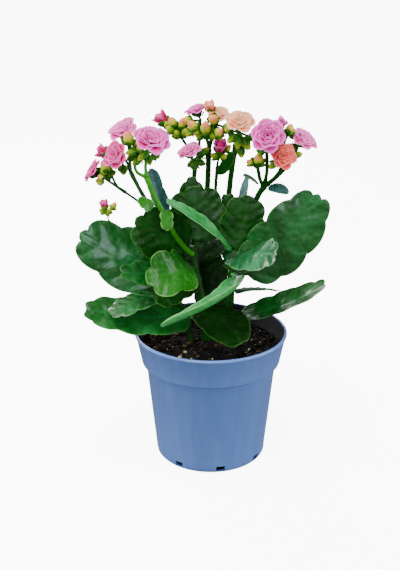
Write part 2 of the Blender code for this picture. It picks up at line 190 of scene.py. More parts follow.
lens = bpy.data.cameras.new("camera")
lens.sensor_width = SENSOR
lens.lens = SENSOR * VIEW_FOCUS / VIEW_HEIGHT
camera = bpy.data.objects.new("camera", lens)
camera.location = CAMERA_PLACE
camera.rotation_euler = (radians(90) - CAMERA_DOWN, 0, 0)
bpy.context.scene.collection.objects.link(camera)
bpy.context.scene.camera = camera
print("lens:", round(lens.lens, 1), "mm")

# %% Floor and backdrop
STAGE_SIZE = 30.0
PAPER_GLOW = 8.0

# Matte background paper, lit from behind: it looks even and almost white wherever it is seen.
paper = grainy_material("backdrop paper, matte", {
    "Roughness": 0.9, "Specular IOR Level": 0.2, "Emission Color": linear("ffffff"),
    "Emission Strength": PAPER_GLOW}, [(0.3, "f8f9fa"), (0.7, "fbfcfd")], 4, 2.0)

floor_bm = bmesh.new()
bmesh.ops.create_grid(floor_bm, x_segments=1, y_segments=1, size=STAGE_SIZE / 2)
dome_bm = bmesh.new()
bmesh.ops.create_uvsphere(dome_bm, u_segments=32, v_segments=16, radius=STAGE_SIZE / 2)
floor, dome = make_object("floor", floor_bm, [paper]), make_object("backdrop", dome_bm, [paper])
dome.visible_shadow = False
for sheet in (floor, dome):
    sheet.visible_diffuse = False
    sheet.visible_glossy = False
print("stage:", floor.name, "and", dome.name)

# %% Lights
SKY_STRENGTH = 0.30
CEILING_STRENGTH = 4.7
CEILING_SPREAD = radians(40)
CEILING_TILT = (radians(12), radians(-14), 0)
LIGHT_AIM = Vector((0, 0, 0.15))
# Each soft box: its place, its side and its power, in metres and watts, and its colour.
SOFT_BOXES = {
    "key": ((-0.45, -0.95, 0.60), 0.55, 9.0, "ffffff"),
    "front": ((0.24, -1.05, 0.20), 0.25, 1.8, "dcf4ff"),
    "back": ((-0.42, 0.80, 0.70), 0.4, 8.0, "ffffff"),
    "left": ((-1.1, 0.25, 0.35), 0.7, 9.0, "f4f8ff"),
    "right": ((1.1, -0.15, 0.35), 0.7, 15.0, "f4f8ff"),
}

world = bpy.data.worlds.new("studio")
world.use_nodes = True
world.node_tree.nodes["Background"].inputs["Color"].default_value = linear("f7f9fc")
world.node_tree.nodes["Background"].inputs["Strength"].default_value = SKY_STRENGTH
bpy.context.scene.world = world

ceiling = bpy.data.lights.new("ceiling", "SUN")
ceiling.energy = CEILING_STRENGTH
ceiling.angle = CEILING_SPREAD
ceiling_box = bpy.data.objects.new("ceiling", ceiling)
ceiling_box.rotation_euler = CEILING_TILT
bpy.context.scene.collection.objects.link(ceiling_box)

for name, (place, size, power, colour) in SOFT_BOXES.items():
    light = bpy.data.lights.new(name, "AREA")
    light.size = size
    light.energy = power
    light.color = linear(colour)[:3]
    box = bpy.data.objects.new(name, light)
    box.location = place
    box.rotation_euler = (LIGHT_AIM - Vector(place)).to_track_quat("-Z", "Y").to_euler()
    bpy.context.scene.collection.objects.link(box)
print("lights:", 1 + len(SOFT_BOXES))


# %% [markdown]
# ## Leaf skin
# A kalanchoe leaf is thick and waxy: deep green with a blue bloom, paler along its veins and its edge,
# and its underside is a lighter, duller green. Three numbers are stored on each leaf's points: how
# close to a vein, how close to the edge, and whether they are on the underside. The material reads
# them, so the colour follows the leaf however it bends. Wax gives a broad shine over quilted flesh, so
# it is a clear coat over a rough green that stands in small pillows. One recipe is mixed seven times.

# %% Leaf materials
# Sizes in millimetres. Real cells and pores are finer: they are drawn as coarse as they need to show.
MOTTLE_SIZE = 14
CELL_SIZE = 1.1
PORE_SIZE = 0.9
PILLOW_SIZE = 4.5
PILLOW_DEPTH = 1.4
VEIN_SHARE = 0.38
EDGE_SHARE = 0.75
UNDER_SHARE = 0.85


def leaf_material(name, deep, middle, pale, margin, underside, shine, gloss):
    """Waxy leaf: cell-grained greens, pale veins and edge, duller underside."""
    material, tree, shader = start_material(name, {
        "IOR": 1.42, "Specular IOR Level": gloss, "Coat Weight": shine, "Coat Roughness": 0.14,
        "Coat IOR": 1.4, "Subsurface Weight": 0.12, "Subsurface Radius": (0.5, 1.0, 0.25),
        "Subsurface Scale": 1.2 * MM})
    place = add(tree, "TexCoord", {}, {}).outputs["Object"]
    mottle = add(tree, "TexNoise", {"Scale": per_metre(MOTTLE_SIZE), "Detail": 4.0}, {0: place})
    flesh = add(tree, "ValToRGB", {"stops": [(0.28, deep), (0.52, middle), (0.80, pale)]},
                {0: mottle})
    cells = add(tree, "TexNoise", {"Scale": per_metre(CELL_SIZE), "Detail": 3.0}, {0: place})
    specks = add(tree, "MapRange", {1: 0.35, 2: 0.65, 3: 0.86, 4: 1.12}, {0: cells})
    skin = add(tree, "HueSaturation", {}, {"Color": flesh, "Value": specks})
    for mark, share, colour in (("vein", VEIN_SHARE, pale), ("edge", EDGE_SHARE, margin),
                                ("under", UNDER_SHARE, underside)):
        level = add(tree, "Attribute", {"attribute_name": mark}, {})
        part = add(tree, "Math", {"operation": "MULTIPLY", 1: share}, {0: level.outputs["Fac"]})
        skin = add(tree, "Mix", {"data_type": "RGBA", 7: linear(colour)}, {0: part, 6: skin}).outputs[2]
    rough = add(tree, "MapRange", {1: 0.3, 2: 0.7, 3: 0.28, 4: 0.48}, {0: mottle})
    pores = add(tree, "TexVoronoi", {"Scale": per_metre(PORE_SIZE)}, {0: place})
    fine = add(tree, "Math", {"operation": "MULTIPLY", 1: 0.12}, {0: pores})
    quilt = add(tree, "TexVoronoi", {
        "feature": "SMOOTH_F1", "Scale": per_metre(PILLOW_SIZE), "Smoothness": 0.5}, {0: place})
    relief = add(tree, "Math", {"operation": "MULTIPLY_ADD", 1: -1.0}, {0: quilt, 2: fine})
    bump = add(tree, "Bump", {"Strength": 0.6, "Distance": PILLOW_DEPTH * MM}, {"Height": relief})
    link(tree, shader, {"Base Color": skin, "Roughness": rough, "Normal": bump})
    return material


# The full-grown leaf has a soft broad shine and the glossy one white patches of mirrored light. The dark
# and shaded ones deep in the plant hardly shine. Their darker greens are painted shade: wholly for the
# shaded ones, in part for the dark ones. The young leaf is bright, and the two folded leaves are paler,
# partly as painted light on their bright faces.
LEAF_SKIN = leaf_material(
    "living leaf, waxy green", "083a0a", "105414", "1e7036", "4a8a3c", "164c20", 0.6, 0.4)
GLOSS_SKIN = leaf_material(
    "living leaf, glossy blue green", "0c421a", "185e30", "349060", "6aa85c", "205c2c", 0.9, 0.5)
# Partly painted shade: a real dark green, made darker still for the leaves in shade inside the plant.
DEEP_GREEN_PART_SHADE = leaf_material(
    "living leaf, smooth dark green, part painted shade", "072a02", "0b3e03", "13520c", "4a8a30", "0c3408", 0.12, 0.25)
# Painted shade: near-black dull greens for the leaves that lie in shade low and deep in the plant.
SKIN_OF_PAINTED_SHADE = leaf_material(
    "living leaf, dull, painted shade", "031a02", "062602", "0a3404", "3c6a28", "082406", 0.0, 0.08)
YOUNG_SKIN = leaf_material(
    "living leaf, young bright green", "0c4c02", "125c04", "2a761a", "8cc060", "3c8a20", 0.15, 0.3)
# Partly painted light: paler greens for the two folded leaves, whose upper faces catch the light.
PALE_SKIN = leaf_material(
    "living leaf, pale green, part painted light", "18742a", "2a8c44", "50b068", "8cc884", "48a850", 0.25, 0.3)
BLUE_SKIN = leaf_material(
    "living leaf, blue grey bloom", "10382c", "1c4c46", "3c7074", "5c8c6c", "2c6068", 0.2, 0.3)
leaf_skins = (LEAF_SKIN, GLOSS_SKIN, DEEP_GREEN_PART_SHADE, SKIN_OF_PAINTED_SHADE, YOUNG_SKIN, PALE_SKIN, BLUE_SKIN)
print("leaf materials:", ", ".join(skin.name for skin in leaf_skins))


# %% [markdown]
# ## Leaves
# A leaf is an oval with rounded teeth, thick at its stalk and thin at its edge. It bends along its
# midrib and cups across it. A flat grid is the natural start: its rows run across the leaf and its
# columns along it. Each point finds its place on the blade first, and then the blade is bent along a
# curve from the stem to the tip. The teeth are a ripple in the oval's radius, and the side veins are
# shallow valleys between soft pillows. The upper and the lower side are two such grids, joined round
# their edge, so that the flesh can be as thick as it is on the real leaf and the midrib can stand out
# below. Bracts, the small leaves on the flower stalks, are made the same way.

# %% Leaf places: foot, tip, width, face, bow of the midrib and lift of the edges
LEAVES = {
    "leaf_left_large": ((-9.6, 3, 127), (-88, -7, 165), 44, (-0.1, -0.92, 0.38), (0, 0, -5), -0.1),
    "leaf_left_lower": ((-4, 4, 100), (-85, -24, 117), 33, (-0.1, -0.5, 0.86), (0, -5, -1), 0.05),
    "leaf_left_dark": ((-31, -9, 121), (-67, -30, 115), 21, (-0.1, -0.3, 0.95), (0, -1, 3), 0),
    "leaf_left_mid": ((-11.8, 4.4, 147), (-49, -22, 179), 36, (-0.25, -0.88, 0.4), (0, -3, 0), 0.05),
    "leaf_left_small": ((-10.5, 3, 132), (-60, -28, 144), 19, (-0.1, -0.75, 0.65), (0, -2, 0), 0),
    "leaf_front_bright": ((-11, 3.3, 136), (-43, -30, 141), 32, (-0.15, -0.9, 0.4), (3, -13, 5), 0.12),
    "leaf_front_fold": ((14.4, 6, 131), (-34, -50, 115), 19, (-0.25, 0.28, 0.93), (18, -12, 7), 0.45),
    "leaf_front_low": ((-5, 4, 107), (20, -40, 98), 35, (0.3, -0.62, 0.72), (-2, -3, 6), 0.05),
    "leaf_front_dark": ((-8.6, 3, 123), (-34, -28, 120), 18, (-0.2, -0.65, 0.73), (0, 0, 3), 0.1),
    "leaf_top_fold": ((14, 5, 146), (-30, -18, 189), 17, (0.55, -0.15, 0.8), (4, -4, 3), 0.15),
    "leaf_center_large": ((-9, 6, 150), (-12, 9, 192), 40, (0.05, -0.9, 0.4), (1, -1, 0), 0.05),
    "leaf_center_back_left": ((-13, 9, 155), (-13, 15, 197), 19, (0, -0.9, 0.4), (0, 0, 0), 0.05),
    "leaf_center_back_right": ((13, 10, 147), (11, 13, 186), 15, (0, -0.9, 0.4), (0, -1, 0), 0.05),
    "leaf_center_right": ((16, 7, 143), (25, 8, 186), 31, (0.15, -0.92, 0.35), (0, -1, 0), 0.05),
    "leaf_right_large": ((14, 4.8, 126), (71, -4, 191), 42, (0.3, -0.85, 0.42), (3, -4, -4), -0.05),
    "leaf_right_glossy": ((14.8, 6.6, 141), (42, -36, 159), 30, (0.05, -0.62, 0.78), (-3, -7, 4), 0),
    "leaf_right_lower": ((12, 6, 99), (78, -8, 129), 26, (-0.3, -0.2, 0.93), (0, 0, -6), 0.25),
    "leaf_right_edge": ((13.6, 5.5, 116), (47, 24, 111), 20, (0.05, 0.3, 0.95), (0, 0, 3), 0),
    "leaf_back_left": ((-8, 3, 117), (-58, 52, 134), 42, (-0.3, 0.3, 0.9), (0, 0, 7), 0.05),
    "leaf_back_center": ((-10, 3, 129), (-8, 70, 152), 44, (0, -0.3, 0.95), (0, 0, 8), 0.05),
    "leaf_back_low": ((-3, 6, 97), (-1, 25, 141), 26, (0.05, -0.9, 0.42), (2, 1, 0), 0.05),
    "leaf_back_right": ((14, 5, 122), (46, 58, 142), 42, (0.2, 0.3, 0.9), (0, 0, 7), 0.05),
}
BRACTS = {
    "bract_left_front": ((-36, -27, 184), (-47, -31, 192), 9, (-0.2, -0.7, 0.7), (0, 0, 2), 0.1),
    "bract_right_front": ((-29, -26, 187), (-28, -34, 174), 9, (0.2, -0.85, 0.5), (0, -2, 1), 0.1),
    "bract_left_back": ((-26, 9, 164), (-40, 13, 203), 13, (0.5, -0.75, 0.4), (-3, 0, 2), 0.1),
    "bract_center": ((4, 15, 196), (13, 4, 216), 8, (0.3, -0.85, 0.45), (1, 0, 0), 0.1),
    "bract_right_left": ((32, 6, 192.5), (20.5, -2, 201.5), 6, (0.3, -0.3, 0.9), (0, 0, 1), 0.2),
    "bract_right_right": ((36, 7, 190), (50, -5, 190), 8, (-0.1, -0.6, 0.8), (0, 0, 2), 0.1),
    "bract_right_back": ((20, 19, 164), (25, 26, 194), 8, (-0.7, -0.6, 0.3), (-1, 1, 0), 0.1),
}
# Which leaves wear which skin. Every other leaf has the full-grown one.
LIME = ("leaf_front_bright", "bract_left_front", "bract_right_front")
# Dark green leaves, darkened further as painted shade.
DARK = ("leaf_center_large", "leaf_center_right", "leaf_center_back_left", "leaf_center_back_right",
        "leaf_left_mid", "leaf_front_dark", "bract_center")
# These leaves are darkened as painted shade.
LEAVES_IN_PAINTED_SHADE = ("leaf_front_low", "leaf_back_center", "leaf_back_low")
GLOSSY = ("leaf_right_glossy",)
# The folded leaves, paler in part as painted light.
PALE = ("leaf_front_fold", "leaf_top_fold")
BLUE = ("bract_right_back", "bract_left_back", "bract_right_right")
SKINS = ((YOUNG_SKIN, LIME), (DEEP_GREEN_PART_SHADE, DARK), (SKIN_OF_PAINTED_SHADE, LEAVES_IN_PAINTED_SHADE), (GLOSS_SKIN, GLOSSY), (PALE_SKIN, PALE),
         (BLUE_SKIN, BLUE))


def skin_of(name):
    """A leaf's material and the record's slot for it."""
    for skin, names in SKINS:
        if name in names:
            return skin, "lime_leaf" if skin == YOUNG_SKIN else "leaf"
    return LEAF_SKIN, "leaf"


print("leaves:", len(LEAVES), "bracts:", len(BRACTS))

# %% [markdown]
# The teeth of a kalanchoe leaf are wide round lobes, and they differ from leaf to leaf. So each leaf may
# say how many lobes it has on one side, how deep the notches are between them, and where they start.

# %% Lobes: how many on one side, notch depth, start
USUAL_LOBES = (5, 1.8, 0.2)
LOBES = {
    "leaf_left_large": (4, 4.6, 0.35), "leaf_left_lower": (6, 2.2, 0.1), "leaf_left_mid": (4, 3.6, 0.4),
    "leaf_left_small": (4, 2.6, 0), "leaf_front_bright": (3, 4.6, 0.5), "leaf_front_low": (5, 1, 0.2),
    "leaf_right_large": (5, 3.4, 0.3), "leaf_right_lower": (6, 2.4, 0.2), "leaf_center_large": (4, 3, 0.5),
    "leaf_center_right": (4, 2.6, 0.5), "leaf_center_back_left": (3, 2.4, 0.5),
    "leaf_top_fold": (5, 0.8, 0.2), "leaf_front_fold": (5, 0.9, 0.2), "leaf_back_left": (5, 3, 0.3),
    "leaf_back_center": (5, 2.8, 0.1), "leaf_back_right": (5, 3, 0.6), "bract_left_back": (3, 0.9, 0.4),
    "bract_left_front": (3, 1.2, 0.4), "bract_right_front": (3, 1.3, 0.4), "bract_center": (2, 0.4, 0.4),
    "bract_right_left": (2, 0.2, 0.4), "bract_right_right": (2, 0.4, 0.4),
    "bract_right_back": (2, 0.3, 0.4),
}
print("leaves with lobes of their own:", len(LOBES))

# %% The outline and the relief of one leaf
STALK_SHARE = 0.14
STALK_HALF_WIDTH = 1.9
STALK_OF_WIDTH = 0.13
FULLNESS = 0.85
OVAL_POWER = 2.3
NOTCH_ROUNDNESS = 0.7
FOOT_FREE, FOOT_BLEND = 0.10, 0.15
VEINS_A_SIDE = 5
VEIN_SLANT = 0.8
VEIN_WIDTH, MIDRIB_WIDTH = 0.8, 0.9
VEIN_DEPTH, PILLOW_HEIGHT = 0.35, 0.22


def bell(x, width):
    """A soft peak that is 1 at zero and falls away over a width."""
    return exp(-((x / width) ** 2))


def oval(x):
    """Half the height of a rounded square from -1 to 1, which lies between a circle and a square."""
    return max(0.0, 1 - abs(x) ** OVAL_POWER) ** (1 / OVAL_POWER)


def blade_half_width(share, width):
    """Half the leaf's width at a share of its length: a narrow stalk, then a broad oval blade."""
    stalk = min(STALK_HALF_WIDTH, width * STALK_OF_WIDTH)
    if share <= STALK_SHARE:
        return stalk
    along = ((share - STALK_SHARE) / (1 - STALK_SHARE)) ** FULLNESS
    return max(stalk * (1 - along), width / 2 * oval(2 * along - 1))


def lobe_notch(share, across, lobes):
    """How far a point of the blade is drawn in by the notches: 0 on a lobe, 1 in a notch at the edge."""
    count, _depth, start = lobes
    if share <= STALK_SHARE:
        return 0.0
    x = 2 * ((share - STALK_SHARE) / (1 - STALK_SHARE)) ** FULLNESS - 1
    y = across * oval(x)
    reach = min(1.0, (abs(x) ** OVAL_POWER + abs(y) ** OVAL_POWER) ** (1 / OVAL_POWER))
    turn = atan2(abs(y), -x) / pi
    notch = 1 - abs(sin(pi * (turn * count + start))) ** NOTCH_ROUNDNESS
    fade = min(1.0, max(0.0, (turn - FOOT_FREE) / FOOT_BLEND))
    return notch * fade * reach**5


def leaf_relief(x, y, width, length, thin):
    """The upper side's height: a groove on the midrib, side veins sunk between soft pillows."""
    spacing = length * 0.8 / VEINS_A_SIDE
    across_vein = (x - abs(y) * VEIN_SLANT) / spacing
    from_vein = abs(across_vein - round(across_vein)) * spacing
    vein = max(bell(y, MIDRIB_WIDTH), 0.8 * bell(from_vein, VEIN_WIDTH) * min(1.0, abs(y) / 2))
    pillow = cos(2 * pi * (across_vein - 0.5)) * min(1.0, abs(y) / (width * 0.25))
    return (PILLOW_HEIGHT * pillow - VEIN_DEPTH * vein) * thin, vein


print("leaf outline ready")

# %% Leaves and bracts
LAST_SHARE = 0.985
FULL_WIDTH = 30
NOTCH_CENTRE, NOTCH_PULL = 0.57, 2.2
BLADE_BLEND = 0.12
WAVE_LENGTH, WAVE_HEIGHT = 17, 1.5
FLESH, EDGE_FLESH = 1.5, 0.35
RIB_HEIGHT, RIB_WIDTH = 0.7, 1.1
PALE_EDGE = 0.45


def build_leaf(name, foot, tip, width, face, bow, lift, start, grid):
    """Two bent copies of one flat grid, upper and lower side, joined round their edge."""
    lobes = LOBES.get(name, USUAL_LOBES)
    foot, tip, face, bow = Vector(foot), Vector(tip), Vector(face), Vector(bow)
    middle = (foot + tip) / 2 + 2 * bow
    length = (middle - foot).length + (tip - middle).length
    first = start / length
    seed = Vector((len(name) * 3.7, width, length))
    thin = min(1.0, width / FULL_WIDTH)
    bm = bmesh.new()
    marks = {mark: bm.verts.layers.float.new(mark) for mark in ("vein", "edge", "under")}
    bmesh.ops.create_grid(bm, x_segments=grid[0], y_segments=grid[1], size=1)
    upper = bm.faces[:]
    lower = [f for f in bmesh.ops.duplicate(bm, geom=upper + bm.edges[:] + bm.verts[:])["geom"]
             if isinstance(f, bmesh.types.BMFace)]
    bmesh.ops.reverse_faces(bm, faces=lower)
    below = {vert for f in lower for vert in f.verts}
    for vert in bm.verts:
        # Where the point is on the flat blade, closer together towards the edge and the tip.
        along, across = (vert.co.x + 1) / 2, sin(vert.co.y * pi / 2)
        if along > 0.5:
            along = (1 - cos(pi * along)) / 2
        share = first + (LAST_SHARE - first) * along
        # The curve of the midrib there, and which way is up and to the side.
        spine = foot * (1 - share) ** 2 + middle * 2 * share * (1 - share) + tip * share**2
        run = ((middle - foot) * (1 - share) + (tip - middle) * share).normalized()
        up = (face - face.dot(run) * run).normalized()
        side = run.cross(up)
        # The outline with its notches, and the way that the edges lift and wave.
        half = blade_half_width(share, width)
        notch = lobe_notch(share, across, lobes) * lobes[1]
        pull = (share - NOTCH_CENTRE) * NOTCH_PULL
        flat = min(1.0, max(0.0, (share - STALK_SHARE) / BLADE_BLEND))
        spot = spine + side * across * (half - notch * (1 - abs(pull) * 0.6))
        spot -= run * notch * pull
        spot += up * lift * half * across**2
        wave = noise.noise(spot / WAVE_LENGTH + seed) * WAVE_HEIGHT * thin * flat * (0.3 + across**2)
        relief, vein = leaf_relief(share * length, across * half, width, length, thin * flat)
        edge = bell((1 - abs(across)) * half, PALE_EDGE)
        if share > 0.9:
            edge = max(edge, bell((LAST_SHARE - share) * length, 0.5))
        # The flesh: round at the stalk, thick along the midrib and thin at the edge.
        meat = FLESH * (1 - across**2) ** 0.5 * (1 - 0.6 * share) * (0.5 + 0.5 * thin)
        stalk_meat = STALK_HALF_WIDTH * 1.6 * (1 - across**2) ** 0.5 * min(1.0, width / 15)
        thickness = EDGE_FLESH + stalk_meat * (1 - flat) + meat * flat
        if vert in below:
            rib = RIB_HEIGHT * bell(across * half, RIB_WIDTH) * flat * thin
            spot += up * (wave - thickness * 0.5 - rib)
        else:
            spot += up * (wave + thickness * 0.5 + relief)
        vert.co = spot
        vert[marks["vein"]] = vein * flat
        vert[marks["edge"]] = edge * flat
        vert[marks["under"]] = 1.0 if vert in below else 0.0
    rims = [edge for edge in bm.edges if edge.is_boundary]
    bmesh.ops.bridge_loops(bm, edges=rims)
    bmesh.ops.recalc_face_normals(bm, faces=bm.faces)
    skin, slot = skin_of(name)
    return finish_piece(f"{name}_grown", bm, [skin], name)


# Each batch: what it is, its table, how far from the foot its leaves begin, and its grid.
for title, table, start, grid in (("leaves", LEAVES, 4.5, (72, 26)), ("bracts", BRACTS, 2.8, (36, 12))):
    grown = [build_leaf(name, *row, start, grid) for name, row in table.items()]
    print(f"{title}: {len(grown)} with {sum(len(leaf.data.polygons) for leaf in grown)} faces")


# %% [markdown]
# ## Stems and flower stalks
# The stems are round and juicy, dark green when grown and lime green when young, a little swollen where
# leaves leave them, with fine lengthwise streaks. A curve with a round bevel is the simplest way to
# make such a tube, since each of its points has its own radius. The routes are given, and a smooth
# curve runs through them.

# %% Stem material
STREAK_SIZE = 1.2
STREAK_STRETCH = 0.15
PATCH_SIZE = 16


def stem_material(name, dark, light):
    """Juicy green stem with lengthwise streaks and a soft waxy shine."""
    material, tree, shader = start_material(name, {
        "Roughness": 0.42, "IOR": 1.42, "Specular IOR Level": 0.25, "Coat Weight": 0.05,
        "Coat Roughness": 0.3, "Subsurface Weight": 0.15, "Subsurface Radius": (0.5, 1.0, 0.25),
        "Subsurface Scale": 1.5 * MM})
    place = add(tree, "TexCoord", {}, {}).outputs["Object"]
    long_way = add(tree, "Mapping", {"Scale": (1, 1, STREAK_STRETCH)}, {0: place})
    streaks = add(tree, "TexNoise", {"Scale": per_metre(STREAK_SIZE), "Detail": 3.0}, {0: long_way})
    patches = add(tree, "TexNoise", {"Scale": per_metre(PATCH_SIZE), "Detail": 2.0}, {0: place})
    half = add(tree, "Math", {"operation": "MULTIPLY", 1: 0.5}, {0: patches})
    both = add(tree, "Math", {"operation": "MULTIPLY_ADD", 1: 0.5}, {0: streaks, 2: half})
    tone = add(tree, "ValToRGB", {"stops": [(0.35, dark), (0.65, light)]}, {0: both})
    bump = add(tree, "Bump", {"Strength": 0.3, "Distance": 0.3 * MM}, {"Height": streaks})
    link(tree, shader, {"Base Color": tone, "Normal": bump})
    return material


# Grown stems are almost as dark as the leaves round them, and young ones catch the eye as lime lines.
STEM_SKIN = stem_material("living stem, juicy green", "062a02", "124c06")
YOUNG_STEM_SKIN = stem_material("living stem, young lime green", "1e7004", "3c941a")
print("stem materials:", STEM_SKIN.name, "and", YOUNG_STEM_SKIN.name)


# %% Tubes along smooth routes
TUBE_RINGS = 3
MERGE = 1e-4


def smooth_route(points, steps=6):
    """Points read from a smooth curve through the route's own points (Catmull-Rom)."""
    knots = [Vector(point) for point in points]
    knots = [2 * knots[0] - knots[1], *knots, 2 * knots[-1] - knots[-2]]
    route = []
    for a, b, c, d in zip(knots, knots[1:], knots[2:], knots[3:]):
        for step in range(steps):
            t = step / steps
            route.append(0.5 * (2 * b + (c - a) * t + (2 * a - 5 * b + 4 * c - d) * t**2
                                + (3 * b - a - 3 * c + d) * t**3))
    return [*route, knots[-2]]


def add_tubes(bm, runs, material_index=0):
    """Adds round tubes to a bmesh, one for each run of points and radii, with closed ends."""
    data = bpy.data.curves.new("tubes", "CURVE")
    data.dimensions = "3D"
    data.bevel_depth = 1
    data.bevel_resolution = TUBE_RINGS
    data.use_fill_caps = True
    for points, radii in runs:
        spline = data.splines.new("POLY")
        spline.points.add(len(points) - 1)
        for knot, point, radius in zip(spline.points, points, radii):
            knot.co = (*point, 1)
            knot.radius = radius
    guide = bpy.data.objects.new("tubes", data)
    bpy.context.scene.collection.objects.link(guide)
    evaluated = guide.evaluated_get(bpy.context.evaluated_depsgraph_get())
    mesh = bpy.data.meshes.new_from_object(evaluated)
    bpy.data.objects.remove(guide)
    faces_before, verts_before = len(bm.faces), len(bm.verts)
    bm.from_mesh(mesh)
    bpy.data.meshes.remove(mesh)
    bm.faces.ensure_lookup_table()
    bm.verts.ensure_lookup_table()
    for f in bm.faces[faces_before:]:
        f.material_index = material_index
    bmesh.ops.remove_doubles(bm, verts=bm.verts[verts_before:], dist=MERGE)


print("tube helper ready")

# %% Stems: foot radius, top radius, route
STEMS = {
    "main_stem": (3.6, 2.9, [(-3, 4, 73), (-4, 4, 99), (-8, 3, 120), (-11, 3, 135), (-12, 5, 151)]),
    "side_stem_right": (3.1, 2.5, [(9, 7, 73), (12, 6, 100), (14, 5, 124), (15, 7, 144)]),
    "side_shoot_left": (2.1, 1.6, [(-13, 3, 74), (-16, 5, 100), (-24, 1, 113), (-31, -9, 121)]),
}
# Leaves leave a stem in pairs, this far apart, and the stem is this much thicker there.
NODE_SPACING = 17.0
NODE_SWELLING = 0.14
SWELLING_REACH = 2.5

for name, (foot, top, route) in STEMS.items():
    points = smooth_route(route, 10)
    last = len(points) - 1
    radii = []
    for index, point in enumerate(points):
        swell = bell((point.z % NODE_SPACING) - NODE_SPACING / 2, SWELLING_REACH) * NODE_SWELLING
        radii.append((foot + (top - foot) * index / last) * (1 + swell))
    bm = bmesh.new()
    add_tubes(bm, [(points, radii)])
    bmesh.ops.recalc_face_normals(bm, faces=bm.faces)
    finish_piece(f"{name}_grown", bm, [STEM_SKIN], name)
print("stems:", len(STEMS))

# %% Flowers (middle, facing, radius, colour) and bud clusters (foot, then each bud's middle, length, radius)
FLOWERS = {
    "flower_far_left": ((-76, -15, 208), (-0.8, -0.2, 0.55), 8, "rose"),
    "flower_left_low": ((-60, -24.5, 220.5), (-0.45, -0.75, 0.45), 8.5, "rose"),
    "flower_left_back": ((-56, -4, 231.5), (-0.3, -0.35, 0.87), 10, "pale"),
    "flower_left_large": ((-37.5, -29, 230), (0.25, -0.5, 0.83), 12, "lilac"),
    "flower_center_low": ((-14.5, -4, 218.5), (-0.35, -0.35, 0.87), 8, "pale"),
    "flower_center_back": ((-9.5, 14, 241.5), (-0.3, -0.1, 0.93), 8, "lilac"),
    "flower_center_top": ((4, 7, 240), (0.15, -0.35, 0.92), 8, "peach"),
    "flower_right_center": ((17.5, -7, 237), (0, -0.5, 0.87), 10, "peach"),
    "flower_right_large": ((34.5, -20, 231.5), (0.05, -0.88, 0.47), 11, "lilac"),
    "flower_right_low": ((45, -19, 218.5), (0.3, -0.85, 0.4), 8.5, "coral"),
    "flower_far_right": ((58, -7, 226), (0.45, -0.35, 0.8), 9.5, "pale"),
}
BUD_CLUSTERS = {
    "buds_far_left": ((-63, -17, 204), [((-67, -20, 212.5), 9, 3.5), ((-70, -20, 205), 5, 2.4)]),
    "buds_left": ((-49, -16, 214), [((-52, -20.5, 230), 10, 3.6), ((-45, -20, 223), 7.5, 2.7)]),
    "buds_back_left": ((-19, 17, 221), [((-32, 18, 234), 10, 3.6), ((-25.5, 14, 233), 8, 3.2),
        ((-19, 14, 232), 8.5, 3)]),
    "buds_center": ((-3, 3, 224), [((-4, -5, 233.5), 10.5, 3.5), ((-12, 0, 233.5), 9, 3.2),
        ((4.5, -5, 230.5), 7.5, 3)]),
    "buds_center_low": ((5, 10, 210), [((5.5, 6, 218), 9, 3.2), ((10.5, 8, 217), 6.5, 2.2)]),
    "buds_right": ((30, -3, 206), [((30, -8, 214), 8.5, 3.4), ((24.5, -6, 211), 5.5, 2.2)]),
    "buds_shoot": ((-70, 18, 168), [((-72, 17, 176), 6, 2.4), ((-66, 18, 175), 6, 2.2)]),
}
CALYX_LENGTH = 5.0
PEDICEL_LENGTH = 3.0
PEDICEL_RADIUS = 0.8
STALK_OVERLAP = 0.5


def branch_end(name):
    """Where a branch meets the flower or the bud cluster above it."""
    if name in FLOWERS:
        middle, facing, _radius, _kind = FLOWERS[name]
        return Vector(middle) - Vector(facing).normalized() * (CALYX_LENGTH + PEDICEL_LENGTH - STALK_OVERLAP)
    return Vector(BUD_CLUSTERS[name][0])


print("flowers:", len(FLOWERS), "bud clusters:", len(BUD_CLUSTERS))

